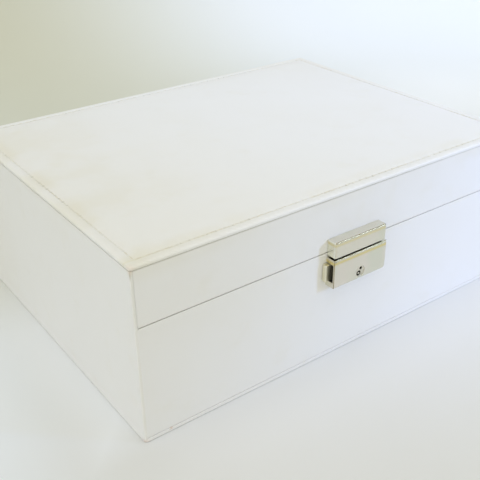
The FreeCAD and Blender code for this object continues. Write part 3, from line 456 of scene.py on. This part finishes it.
# how far in from the edge, and how high above the cover's lowest point, in mm:
# inside of the cover, turned-in hem, rolled edge, rim, stitched channel, padded top
INNER = [(14.8, 1.84), (14.8, 1.24), (0.75, 1.24), (0.75, -0.02)]
HEM = [(17.0, -0.02), (17.2, -0.07), (17.0, -0.12), (2.4, -0.15), (0.7, -0.15)]
EDGE = [(0.3, -0.11), (0.1, 0.03), (0.0, 0.28), (0.0, 0.68), (0.05, 1.0), (0.2, 1.28)]
RIM = [(0.45, 1.46), (0.9, 1.6), (1.5, 1.68), (2.3, 1.715), (3.1, 1.705), (3.8, 1.67)]
CHANNEL = [(4.2, 1.62), (4.6, 1.565), (4.85, 1.54), (5.0, 1.53), (5.4, 1.57), (5.8, 1.645)]
PAD = [(6.2, 1.72), (6.8, 1.80), (7.7, 1.90), (8.9, 1.99), (10.5, 2.08), (12.2, 2.16), (14.0, 2.22)]
CHANNEL_LOW = CHANNEL[3][1] * MM


def rectangle_row(half, inset, radius):
    """Points round a rectangle, from its front left corner, with the outer corners rounded."""
    reach = half - inset
    xs = np.linspace(-reach[0], reach[0], COUNT_X + 1)[:-1]
    ys = np.linspace(-reach[1], reach[1], COUNT_Y + 1)[:-1]
    front = np.column_stack([xs, np.full(COUNT_X, -reach[1])])
    right = np.column_stack([np.full(COUNT_Y, reach[0]), ys])
    row = np.vstack([front, right, -front, -right])
    if inset < radius:
        centre = np.sign(row) * (half - radius)
        away = row - centre
        corner = (np.sign(row) * away > 0).all(axis=1)
        length = np.linalg.norm(away, axis=1)
        turned = centre + away / np.maximum(length, 1e-9)[:, None] * (radius - inset)
        row[corner] = turned[corner]
    return row


def stitch_phase(row, half):
    """How far each point of a row is along its side, counted in stitches."""
    long_side = np.r_[np.ones(COUNT_X), np.zeros(COUNT_Y), np.ones(COUNT_X), np.zeros(COUNT_Y)] > 0
    reach = half - STITCH_IN
    along = np.where(long_side, row[:, 0] / reach[0], row[:, 1] / reach[1])
    count = np.where(long_side, STITCHES_X, STITCHES_Y)
    pitch = np.where(long_side, 2 * reach[0] / STITCHES_X, 2 * reach[1] / STITCHES_Y)
    return (along + 1) / 2 * count, pitch


def corner_fade(row, half):
    """0 at the corners of the stitch line, 1 from CORNER_REACH along its sides."""
    away = np.linalg.norm(half - STITCH_IN - np.abs(row[:, :2]), axis=1)
    return np.clip(away / CORNER_REACH, 0, 1)


def pad_height(x, y, half):
    """The padded middle: a low crown with the slight unevenness of thin foam."""
    reach = half - PAD_IN
    fade = max(0.0, 1 - (x / reach[0]) ** 2) * max(0.0, 1 - (y / reach[1]) ** 2)
    crown = CROWN * min(1.0, fade * 2.2)
    return crown + waver((x, y, 0.3), 26.0, 0.10 * MM) * min(1.0, fade * 6)


def lid_cover():
    low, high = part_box("lid_cover")
    half = np.array([(high.x - low.x) / 2, (high.y - low.y) / 2])
    profile = INNER + HEM + EDGE + RIM + CHANNEL + PAD
    count = 2 * (COUNT_X + COUNT_Y)
    verts, holes, faces = [], [], []
    outside = [(inset * MM, low.z + height * MM) for inset, height in RIM + CHANNEL + PAD]
    for inset, height in profile:
        inset, height = inset * MM, low.z + height * MM
        row = rectangle_row(half, inset, LID_CORNER)
        phase, pitch = stitch_phase(row, half)
        off = (phase - np.round(phase)) * pitch
        outer_face = (inset, height) in outside
        hole = np.exp(-(off**2 + (inset - STITCH_IN) ** 2) / HOLE_REACH**2) * outer_face
        hole = hole * corner_fade(row, half)
        pucker = np.cos(2 * math.pi * phase) * math.exp(-(((inset - PUCKER_IN) / PUCKER_WIDTH) ** 2))
        rise = -HOLE_DEPTH * hole - PUCKER_DEPTH * pucker * outer_face
        for k in range(count):
            x, y = row[k]
            soft = waver((x, y, 0.9), 38.0, 0.07 * MM) * min(1.0, max(0.0, inset / (2 * MM)))
            verts.append((x, y, height + rise[k] + soft * outer_face))
            holes.append(hole[k])
    for i in range(len(profile) - 1):
        faces += ring_faces(i * count, (i + 1) * count, count)
    faces.append(tuple(reversed(range(count))))
    faces += pad_faces(verts, holes, half, (len(profile) - 1) * count, low.z + profile[-1][1] * MM)
    made = mesh_object("lid_leather_cover", verts, faces, LEATHER_LID, "lid")
    # how strongly each needle hole is darkened with painted shade
    give_attribute(made, "needle_hole", np.clip(np.array(holes) * HOLE_DARKNESS, 0, 1))
    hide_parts("lid_cover")
    return half, low.z + CHANNEL_LOW


def pad_faces(verts, holes, half, last_row, height):
    """The grid that closes the top inside its last row, at half the row's spacing."""
    nx, ny = COUNT_X // 2, COUNT_Y // 2
    reach = half - PAD_IN
    starts = (0, COUNT_X, COUNT_X + COUNT_Y, 2 * COUNT_X + COUNT_Y)
    index = {}
    for i in range(nx + 1):
        for j in range(ny + 1):
            if j == 0 and i < nx:
                index[i, j] = last_row + 2 * i
            elif i == nx and j < ny:
                index[i, j] = last_row + starts[1] + 2 * j
            elif j == ny and i > 0:
                index[i, j] = last_row + starts[2] + 2 * (nx - i)
            elif i == 0 and j > 0:
                index[i, j] = last_row + starts[3] + 2 * (ny - j)
            else:
                x = reach[0] * (2 * i / nx - 1)
                y = reach[1] * (2 * j / ny - 1)
                soft = waver((x, y, 0.9), 38.0, 0.07 * MM)
                index[i, j] = len(verts)
                verts.append((x, y, height + pad_height(x, y, half) + soft))
                holes.append(0.0)
    faces = []
    for i in range(nx):
        for j in range(ny):
            face = [index[i, j]]
            if j == 0:
                face.append(last_row + 2 * i + 1)
            face.append(index[i + 1, j])
            if i == nx - 1:
                face.append(last_row + starts[1] + 2 * j + 1)
            face.append(index[i + 1, j + 1])
            if j == ny - 1:
                face.append(last_row + starts[2] + 2 * (nx - i) - 1)
            face.append(index[i, j + 1])
            if i == 0:
                face.append(last_row + starts[3] + 2 * (ny - j) - 1)
            faces.append(tuple(face))
    return faces


THREAD_RADIUS = 0.22 * MM
THREAD_SIDES = 7
# how far a stitch strays to the side and rises, in mm, and how deep its ends sit
STITCH_ASIDE = 0.10
STITCH_LIFT = (0.38, 0.48)
STITCH_SUNK = 0.30 * MM


def stitch(a, b, rng):
    """One sewn stitch, from the needle hole at a to the one at b."""
    up = Vector((0, 0, 1))
    aside = (b - a).cross(up).normalized() * rng.uniform(-STITCH_ASIDE, STITCH_ASIDE) * MM
    lift = rng.uniform(*STITCH_LIFT) * MM
    points, radii = [], []
    for share in (0.05, 0.14, 0.28, 0.5, 0.72, 0.86, 0.95):
        arch = math.sin(math.pi * share)
        points.append(a.lerp(b, share) + up * (arch * lift - STITCH_SUNK) + aside * arch)
        radii.append(THREAD_RADIUS * (0.72 + 0.28 * arch))
    return tube(points, radii, up, THREAD_SIDES)


def lid_stitches(half, height):
    rng = random.Random(SEED)
    x, y = half - STITCH_IN
    corners = [Vector((a * x, b * y, height)) for a, b in ((-1, -1), (1, -1), (1, 1), (-1, 1))]
    parts = []
    for side in range(4):
        a, b = corners[side], corners[(side + 1) % 4]
        count = STITCHES_Y if side % 2 else STITCHES_X
        for k in range(count):
            parts.append(stitch(a.lerp(b, k / count), a.lerp(b, (k + 1) / count), rng))
    verts, faces = gather(parts)
    mesh_object("lid_stitching", verts, faces, THREAD, "lid")


# ---------------------------------------------------------------- velvet and ribbon


def soft_lines(low, high, radius, step):
    """Grid lines along one side of a panel, closer together over its rounded edge."""
    edge = [0.0, 0.13, 0.35, 0.65, 1.0]
    near = [low + radius * share for share in edge]
    far = [high - radius * share for share in reversed(edge)]
    count = max(1, round((far[0] - near[-1]) / step))
    middle = list(np.linspace(near[-1], far[0], count + 1))[1:-1]
    return near + middle + far


PANEL_ROUND = 0.7 * MM
PANEL_SAG = 0.22 * MM
PANEL_STEP = 5 * MM


def soft_panel(node, face, body):
    """A velvet-covered panel in a CAD box: rounded edges, and a faintly uneven face."""
    low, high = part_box(node)
    axis = "xyz".index(face[1])
    out = 1 if face[0] == "+" else -1
    rounds = [min(PANEL_ROUND, (high[i] - low[i]) * 0.45) for i in range(3)]
    lines = [soft_lines(low[i], high[i], rounds[i], PANEL_STEP) for i in range(3)]
    counts = [len(line) for line in lines]
    inner_low = Vector([low[i] + rounds[i] for i in range(3)])
    inner_high = Vector([high[i] - rounds[i] for i in range(3)])
    index, verts, faces = {}, [], []

    def point(key):
        if key not in index:
            flat = Vector([lines[i][key[i]] for i in range(3)])
            core = Vector([min(max(flat[i], inner_low[i]), inner_high[i]) for i in range(3)])
            away = flat - core
            size = max(abs(c) for c in away)
            place = core + away.normalized() * size if size > 0 else flat
            if key[axis] == (counts[axis] - 1 if out > 0 else 0):
                dip = PANEL_SAG * (0.5 + 0.5 * noise.noise(place * 34.0 + Vector((0, 0, axis))))
                place[axis] -= out * dip
            index[key] = len(verts)
            verts.append(tuple(place))
        return index[key]

    for across in range(3):
        u, v = [i for i in range(3) if i != across]
        for end in (0, counts[across] - 1):
            for a in range(counts[u] - 1):
                for b in range(counts[v] - 1):
                    corners = []
                    for da, db in ((0, 0), (1, 0), (1, 1), (0, 1)):
                        key = [0, 0, 0]
                        key[across], key[u], key[v] = end, a + da, b + db
                        corners.append(point(tuple(key)))
                    if (end == 0) == (across != 1):
                        corners.reverse()
                    faces.append(tuple(corners))
    made = mesh_object(node + "_velvet", verts, faces, VELVET, body)
    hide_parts(node)
    return made


ROLL_COUNT = 6
ROLL_SIDES = 36
ROLL_DOME = 2.4 * MM
ROLL_GATHER = 0.16 * MM
ROLL_UNEVEN = 0.22 * MM
ROLL_STATIONS = 44


def ring_roll(number, left, right, centre_y, centre_z, radius):
    """A stuffed velvet roll lying along X: domed ends with gathers, and a soft uneven skin."""
    dome = [(0.0, 0.0), (0.02, 0.30), (0.10, 0.58), (0.28, 0.80), (0.55, 0.93), (0.85, 0.99)]
    ends = [(left + share * ROLL_DOME, size) for share, size in dome]
    middle = [(x, 1.0) for x in np.linspace(left + ROLL_DOME, right - ROLL_DOME, ROLL_STATIONS)]
    far = [(right - share * ROLL_DOME, size) for share, size in reversed(dome)]
    stations = ends + middle + far
    verts = [(stations[0][0] + 0.5 * MM, centre_y, centre_z)]
    for i, (x, size) in enumerate(stations[1:-1], 1):
        gathers = ROLL_GATHER * max(0.0, 1 - abs(size - 0.58) / 0.42)
        inward = 1 if i < len(stations) / 2 else -1
        for k in range(ROLL_SIDES):
            turn = 2 * math.pi * k / ROLL_SIDES
            y, z = math.cos(turn), math.sin(turn)
            reach = radius * size * (1 - 0.035 * max(0.0, -z) ** 3)
            skin = noise.noise(Vector((x * 60, y * 1.1 + number * 5, z * 1.1)))
            reach -= ROLL_UNEVEN * size * (0.5 + 0.5 * skin)
            fold = gathers * math.cos(9 * turn + number)
            verts.append((x + inward * fold, centre_y + y * reach, centre_z + z * reach))
    verts.append((stations[-1][0] - 0.5 * MM, centre_y, centre_z))
    faces = [(0, 1 + (k + 1) % ROLL_SIDES, 1 + k) for k in range(ROLL_SIDES)]
    rows = len(stations) - 2
    for i in range(rows - 1):
        faces += ring_faces(1 + i * ROLL_SIDES, 1 + (i + 1) * ROLL_SIDES, ROLL_SIDES)
    last = 1 + (rows - 1) * ROLL_SIDES
    faces += [(last + k, last + (k + 1) % ROLL_SIDES, len(verts) - 1) for k in range(ROLL_SIDES)]
    made = mesh_object(f"ring_roll_{number + 1}", verts, [tuple(reversed(f)) for f in faces], VELVET, "tray")
    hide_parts("ring_rolls")


def ring_rolls():
    low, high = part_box("ring_rolls")
    radius = (high.z - low.z) / 2
    pitch = (high.y - low.y - 2 * radius) / (ROLL_COUNT - 1)
    for number in range(ROLL_COUNT):
        centre_y = low.y + radius + pitch * number
        ring_roll(number, low.x, high.x, centre_y, (low.z + high.z) / 2, radius)


RIBBON_THICK = 0.32 * MM
SELVEDGE = 0.35 * MM
RIBBON_EYE = 1.25 * MM
EYE_STEPS = 8


def tray_tab(name, wall_x, inward, low, high):
    """A ribbon loop glued to a tray wall: up, over a round eye, and down on itself."""
    eye = RIBBON_EYE
    top = high.z - 0.2 * MM
    line = [(0.25 * MM, low.z), (0.22 * MM, (low.z + top) / 2), (0.30 * MM, top - 5.0 * MM)]
    for step in range(EYE_STEPS + 1):
        turn = math.pi * (1.0 - step / EYE_STEPS)
        line.append((0.25 * MM + eye + math.cos(turn) * eye, top - eye + math.sin(turn) * eye))
    line += [(1.1 * MM, top - 5.6 * MM), (0.66 * MM, top - 7.4 * MM), (0.64 * MM, low.z)]
    verts, faces = [], []
    middle = np.linspace(low.y + 2 * MM, high.y - 2 * MM, 6)
    across = [low.y, low.y + SELVEDGE, *middle, high.y - SELVEDGE, high.y]
    for i, (x, z) in enumerate(line):
        before, after = line[max(i - 1, 0)], line[min(i + 1, len(line) - 1)]
        run = Vector((after[0] - before[0], after[1] - before[1])).normalized()
        for face in (1, -1):
            for k, y in enumerate(across if face > 0 else reversed(across)):
                thin = 0.55 if k in (0, len(across) - 1) else 1.0
                off = face * RIBBON_THICK / 2 * thin
                ripple = waver((y, z, 0.4), 160.0, 0.10 * MM)
                px = x + run.y * off + ripple
                verts.append((wall_x + inward * px, y, z - run.x * off))
    count = 2 * len(across)
    for i in range(len(line) - 1):
        faces += ring_faces(i * count, (i + 1) * count, count)
    faces.append(tuple(reversed(range(count))))
    faces.append(tuple(range((len(line) - 1) * count, len(line) * count)))
    if inward < 0:
        faces = [tuple(reversed(face)) for face in faces]
    made = mesh_object(name, verts, faces, SATIN, "tray")
    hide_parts("tray_tabs")


def tray_tabs():
    low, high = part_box("tray_tabs")
    tray_tab("tray_tab_left", low.x, 1, low, high)
    tray_tab("tray_tab_right", high.x, -1, low, high)


PANELS = {
    "floor_liner": ("+z", "case"),
    "front_liner": ("+y", "case"),
    "back_liner": ("-y", "case"),
    "left_liner": ("+x", "case"),
    "right_liner": ("-x", "case"),
    "tray_rail_left": ("+z", "case"),
    "tray_rail_right": ("+z", "case"),
    "lid_strip_liner": ("+y", "lid"),
    "lid_liner": ("-z", "lid"),
    "tray_floor": ("+z", "tray"),
    "tray_wall_front": ("+z", "tray"),
    "tray_wall_back": ("+z", "tray"),
    "tray_wall_left": ("+z", "tray"),
    "tray_wall_right": ("+z", "tray"),
    "tray_divider_long": ("+z", "tray"),
}

# ---------------------------------------------------------------- CAD nodes kept as they are

WELD_GAP = 0.004 * MM
FLAT_ANGLE = math.radians(0.6)
EDGE_ANGLE = math.radians(40)

# how wide the small round on each node's sharp edges is, in mm
ROUNDING = {
    "base_board": 0.35,
    "body_cover": 0.12,
    "front_cover": 0.12,
    "lid_strip_cover": 0.12,
    "lock_shell": 0.22,
    "hasp_shell": 0.15,
    "lock_button": 0.3,
    "key_plug": 0.08,
    "hasp_tongue": 0.15,
    "latch_bar": 0.15,
    "mirror_frame": 0.8,
    "mirror": 0.6,
    "lower_divider_long": 0.7,
    "lower_divider_cross_left": 0.7,
    "lower_divider_cross_right": 0.7,
    "tray_dividers_cross": 0.7,
    "hinge_leaf_lower_left": 0.12,
    "hinge_leaf_lower_right": 0.12,
    "hinge_leaf_upper_left": 0.12,
    "hinge_leaf_upper_right": 0.12,
}


def dress(node, material):
    """Gives a CAD node its finish, and the sharp edges of the nodes listed in ROUNDING a small round."""
    made = NODES[node]
    made.data.materials.clear()
    made.data.materials.append(material)
    custom = made.data.attributes.get("custom_normal")
    if custom:
        made.data.attributes.remove(custom)
    made.data.polygons.foreach_set("use_smooth", [True] * len(made.data.polygons))
    weld = made.modifiers.new("weld", "WELD")
    weld.merge_threshold = WELD_GAP
    if node in ROUNDING:
        flat = made.modifiers.new("flat", "DECIMATE")
        flat.decimate_type = "DISSOLVE"
        flat.angle_limit = FLAT_ANGLE
        bevel = made.modifiers.new("round", "BEVEL")
        bevel.width = ROUNDING[node] * MM
        bevel.segments = 3
        bevel.limit_method = "ANGLE"
        bevel.angle_limit = EDGE_ANGLE
    normals = made.modifiers.new("normals", "WEIGHTED_NORMAL")
    normals.keep_sharp = False
    normals.weight = 100


def make_materials():
    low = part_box("lid_cover")[0]
    seam = (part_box("lid_strip_cover")[0].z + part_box("front_cover")[1].z) / 2
    corner = (low.x, low.y, low.z)
    # a painted shadow that hooks down under the lid's near front corner
    painted_shadow_hook = ((low.x, low.y, low.z - 2.0 * MM), (1.0, 1.0, 0.2), 0.7 * MM, 0.6)
    lid = leatherette(
        "leatherette_lid",
        yellow_planes=[
            (1, low.y + 7.5 * MM, 7 * MM, 0.32),
            (1, low.y + STITCH_IN, 1.2 * MM, 0.6),
            (0, low.x + 7 * MM, 6 * MM, 0.30),
            (0, low.x, 90 * MM, 0.35),
        ],
        # painted shade under the lid's edge
        painted_shade_planes=[(2, low.z - 0.1 * MM, 0.4 * MM, 0.12)],
        scuffs=[(corner, 5.0 * MM, 0.40)],
        mask="needle_hole",
    )
    front = leatherette(
        "leatherette_front",
        yellow_planes=[(2, low.z, 9 * MM, 0.25), (2, seam, 3 * MM, 0.20), (2, 0.0, 5 * MM, 0.20)],
        # painted shade along the lid line and in the seam gap
        painted_shade_planes=[(2, low.z, 0.8 * MM, 0.6), (2, seam, 0.5 * MM, 0.4)],
        scuffs=[(corner, 3.0 * MM, 0.45)],
        painted_shadow_streak=painted_shadow_hook,
    )
    side = leatherette(
        "leatherette_side",
        yellow_planes=[(2, low.z, 5 * MM, 0.15), (1, low.y, 1.5 * MM, 0.20)],
        # painted shade along the lid line
        painted_shade_planes=[(2, low.z, 0.6 * MM, 0.05)],
        scuffs=[(corner, 3.0 * MM, 0.45)],
        painted_shadow_streak=painted_shadow_hook,
    )
    foot = (low.x, low.y, 0.0)
    base = leatherette(
        "base_wrap",
        # a painted shadow where the foot meets the floor
        painted_shade_planes=[(2, 0.0, 0.6 * MM, 0.75)],
        scuffs=[(foot, 3.5 * MM, 0.6), ((foot[0] + 14 * MM, foot[1], 2 * MM), 1.5 * MM, 0.6)],
    )
    return lid, front, side, base


LEATHER_LID, LEATHER_FRONT, LEATHER_SIDE, BASE_WRAP = make_materials()
VELVET = velvet("velvet", (0.80, 0.745, 0.655), (0.62, 0.55, 0.455))
SATIN = satin("ribbon")
THREAD = thread("thread")
LOCK_LOW, LOCK_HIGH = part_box("lock_shell")
HASP_LOW, HASP_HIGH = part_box("hasp_shell")
PLUG_LOW, PLUG_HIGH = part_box("key_plug")
# half the rounded edge of the pressed metal, where the painted dark reflection lines run
ARC = 0.15 * MM
LOCK_FRONT_EDGE = (0.0, LOCK_LOW.y + ARC, LOCK_HIGH.z - ARC)
LOCK_LEFT_EDGE = (LOCK_LOW.x + ARC, LOCK_LOW.y + ARC, 0.0)
HASP_FRONT_EDGE = (0.0, HASP_LOW.y + ARC, HASP_HIGH.z - ARC)
SHEET = 0.8 * MM
NICKEL = metal("nickel", (0.67, 0.64, 0.56), (0.58, 0.57, 0.49), 0.24)
LOCK_NICKEL = metal(
    "nickel_lock",
    (0.80, 0.755, 0.655),
    (0.745, 0.745, 0.62),
    0.22,
    bands=[(2, LOCK_HIGH.z - 1.9 * MM, 1.5 * MM, 0.75, GILT)],
    edges=[
        # painted dark reflection along the lock's top front and left edges
        (LOCK_FRONT_EDGE, (0, 1, 1), 0.55 * MM, 1.0),
        (LOCK_LEFT_EDGE, (1, 1, 0), 0.4 * MM, 0.9),
    ],
    chips=[((LOCK_LOW.x + 0.9 * MM, LOCK_LOW.y, LOCK_HIGH.z - 1.0 * MM), 0.5 * MM)],
    # painted shade inside the lock shell
    inside=(
        LOCK_LOW + Vector((0.1 * MM, SHEET * 0.9, SHEET * 0.9)),
        LOCK_HIGH + Vector((-SHEET, SHEET, -SHEET * 0.9)),
    ),
)
HASP_NICKEL = metal(
    "nickel_hasp",
    (0.80, 0.765, 0.65),
    (0.75, 0.745, 0.61),
    0.2,
    bands=[
        # painted highlight on the hasp's left edge
        (0, HASP_LOW.x, 0.4 * MM, 0.9, HASP_EDGE_HIGHLIGHT),
        (2, HASP_HIGH.z - 1.6 * MM, 1.3 * MM, 0.5, GILT),
    ],
    # painted dark reflection along the hasp's top front edge
    edges=[(HASP_FRONT_EDGE, (0, 1, 1), 0.6 * MM, 1.0)],
    chips=[((HASP_HIGH.x, HASP_LOW.y, HASP_HIGH.z), 0.55 * MM)],
    # painted shade inside the hasp
    inside=(HASP_LOW + Vector((SHEET, SHEET, -MM)), HASP_HIGH + Vector((-SHEET, SHEET, -SHEET))),
)
PLUG_NICKEL = metal(
    "nickel_plug",
    (0.72, 0.68, 0.56),
    (0.60, 0.58, 0.47),
    0.26,
    # painted shade, with some oil, deep in the keyhole
    inside=(PLUG_LOW + Vector((-MM, 0.25 * MM, -MM)), PLUG_HIGH + Vector((MM, MM, MM))),
)
BUTTON_NICKEL = metal("nickel_button", (0.86, 0.83, 0.66), (0.82, 0.79, 0.62), 0.36)
FINISHES = {
    "leatherette": LEATHER_FRONT,
    "base_wrap": BASE_WRAP,
    "mdf": board("mdf", (0.60, 0.47, 0.31), (0.43, 0.32, 0.20), 900.0),
    "greyboard": board("greyboard", (0.50, 0.48, 0.44), (0.36, 0.35, 0.32), 1300.0),
    "foam": foam("foam"),
    "velvet": VELVET,
    "ribbon": SATIN,
    "mirror_glass": mirror_glass("mirror_glass"),
    "nickel": NICKEL,
    "steel": metal("steel", (0.62, 0.62, 0.61), (0.50, 0.50, 0.49), 0.30),
}


OWN_FINISHES = {
    "body_cover": LEATHER_SIDE,
    "lid_cover": LEATHER_LID,
    "lock_shell": LOCK_NICKEL,
    "hasp_shell": HASP_NICKEL,
    "key_plug": PLUG_NICKEL,
    "lock_button": BUTTON_NICKEL,
}


def build():
    half, channel = lid_cover()
    lid_stitches(half, channel)
    for node, (face, body) in PANELS.items():
        soft_panel(node, face, body)
    ring_rolls()
    tray_tabs()
    for node in NODES:
        dress(node, OWN_FINISHES.get(node, FINISHES[SLOT_OF[node]]))


# ---------------------------------------------------------------- studio


SWEEP_FRONT, SWEEP_TOP, SWEEP_HALF = -2.5, 2.5, 3.5
SWEEP_BEND, SWEEP_BEND_Y, SWEEP_STEPS = 0.30, 0.35, 12


def backdrop():
    """A pale floor that sweeps up into a wall, with light and shade painted on: the wall darker and warmer
    to the left, the floor lighter to the left, and painted light beside the case and beyond it on the right.
    """
    material, tree, surface, coords = start("studio_sweep")
    # the wall: painted shade on its left, painted cool light on its right
    across = spread(tree, part_of(tree, coords, 0), 0.0, 0.42)
    wall = blended(tree, across, (0.66, 0.66, 0.54), (0.87, 0.90, 0.93))
    rising = spread(tree, part_of(tree, coords, 1), 0.0, 0.16)
    paper = noise_node(tree, coords, 4.0, 2.0)
    ground = blended(tree, spread(tree, paper, 0.3, 0.7), (0.72, 0.72, 0.685), (0.74, 0.74, 0.71))
    # painted light: the floor lighter towards the left
    painted_light_leftward = add(tree, "VectorMath", {0: coords, 1: (-1.0, 0.5, 0.0)}, operation="DOT_PRODUCT")
    painted_light_leftward = painted_light_leftward.outputs["Value"]
    ground = blended(tree, spread(tree, painted_light_leftward, 0.08, 0.165), ground, (0.80, 0.83, 0.85))
    # painted light on the floor along the case's left side, lifting its shade
    reach = 0.035
    low = Vector((cad_low.x - reach, cad_low.y - 0.004, -1.0))
    painted_light_beside = within(tree, coords, low, Vector((0.0, cad_high.y + reach, 1.0)), reach)
    ground = blended(tree, painted_light_beside, ground, (0.85, 0.87, 0.88))
    colour = blended(tree, rising, ground, wall)
    # painted cool light on the floor and wall beyond the case on the right
    painted_light_beyond = near_point(tree, coords, (0.365, 0.135, 0.0), 0.16)
    colour = blended(tree, painted_light_beyond, colour, (0.93, 0.96, 1.0))
    tree.links.new(colour, surface.inputs["Base Color"])
    set_all(surface, Roughness=0.75, Specular_IOR_Level=0.2)
    path = [(SWEEP_FRONT, 0.0), (SWEEP_BEND_Y, 0.0)]
    for step in range(1, SWEEP_STEPS + 1):
        turn = math.pi / 2 * step / SWEEP_STEPS
        path.append((SWEEP_BEND_Y + SWEEP_BEND * math.sin(turn), SWEEP_BEND * (1 - math.cos(turn))))
    path.append((SWEEP_BEND_Y + SWEEP_BEND, SWEEP_TOP))
    verts = [(x, y, z) for y, z in path for x in (-SWEEP_HALF, SWEEP_HALF)]
    faces = [(2 * i, 2 * i + 1, 2 * i + 3, 2 * i + 2) for i in range(len(path) - 1)]
    mesh = bpy.data.meshes.new("sweep")
    mesh.from_pydata(verts, [], faces)
    mesh.polygons.foreach_set("use_smooth", [True] * len(mesh.polygons))
    mesh.materials.append(material)
    made = bpy.data.objects.new("sweep", mesh)
    bpy.context.scene.collection.objects.link(made)


LAMP_RADIUS = 0.16


def lamp(name, place, target, angle, power, colour):
    """A soft-edged spot."""
    data = bpy.data.lights.new(name, "SPOT")
    data.energy = power
    data.color = colour
    data.spot_size = math.radians(angle)
    data.spot_blend = 1.0
    data.shadow_soft_size = LAMP_RADIUS
    made = bpy.data.objects.new(name, data)
    made.location = place
    made.rotation_mode = "QUATERNION"
    made.rotation_quaternion = (Vector(target) - Vector(place)).to_track_quat("-Z", "Y")
    bpy.context.scene.collection.objects.link(made)


# the soft light of the room from each side: axis, direction along it, colour
ROOM = (
    (0, -1, (1.38, 1.44, 1.71)),
    (0, 1, (0.35, 0.40, 0.39)),
    (1, -1, (0.55, 0.51, 0.31)),
    (1, 1, (0.97, 1.09, 1.43)),
    (2, 1, (1.365, 1.355, 1.32)),
)


def world():
    made = bpy.data.worlds.new("soft_room")
    bpy.context.scene.world = made
    made.use_nodes = True
    tree = made.node_tree
    direction = tree.nodes.new("ShaderNodeTexCoord").outputs["Generated"]
    parts = add(tree, "SeparateXYZ", {0: direction}).outputs
    total = (0.0, 0.0, 0.0)
    for axis, side, colour in ROOM:
        facing = math_node(tree, "MAXIMUM", math_node(tree, "MULTIPLY", parts[axis], side), 0.0)
        share = math_node(tree, "MULTIPLY", facing, facing)
        total = blended(tree, share, total, colour, "ADD")
    plug(tree, tree.nodes["Background"].inputs[0], total)


CAMERA_PLACE = Vector((-0.2438, -0.3351, 0.2529))
CAMERA_AZIMUTH = math.radians(-35.91)
CAMERA_ELEVATION = math.radians(29.02)
CAMERA_ROLL = math.radians(-0.77)
CAMERA_LENS = 57.76
CAMERA_SENSOR = 36.0


def camera():
    data = bpy.data.cameras.new("camera")
    data.lens = CAMERA_LENS
    data.sensor_width = CAMERA_SENSOR
    data.clip_start = 0.01
    data.clip_end = 20.0
    made = bpy.data.objects.new("camera", data)
    bpy.context.scene.collection.objects.link(made)
    level = math.cos(CAMERA_ELEVATION)
    back_x = math.sin(CAMERA_AZIMUTH) * level
    back_y = -math.cos(CAMERA_AZIMUTH) * level
    back = Vector((back_x, back_y, math.sin(CAMERA_ELEVATION)))
    right = (-back).cross(Vector((0, 0, 1))).normalized()
    up = right.cross(-back)
    turned = right * math.cos(CAMERA_ROLL) + up * math.sin(CAMERA_ROLL)
    raised = up * math.cos(CAMERA_ROLL) - right * math.sin(CAMERA_ROLL)
    axes = Matrix((turned, raised, back)).transposed().to_4x4()
    made.matrix_world = Matrix.Translation(CAMERA_PLACE) @ axes
    bpy.context.scene.camera = made


# soft spots: place, target, cone in degrees, power in watts, colour
SIDE_LAMP = ((0.75, -0.75, 0.45), (0.178, -0.095, 0.086), 18.0, 68.0, (0.344, 0.492, 1.0))
WALL_LAMP = ((1.1, -0.1, 1.0), (0.62, 0.42, 0.0), 46.0, 19.0, (0.46, 0.62, 1.0))


def studio():
    backdrop()
    world()
    lamp("cool_side", *SIDE_LAMP)
    lamp("cool_wall", *WALL_LAMP)
    camera()
    scene = bpy.context.scene
    scene.view_settings.view_transform = "Standard"


build()
studio()
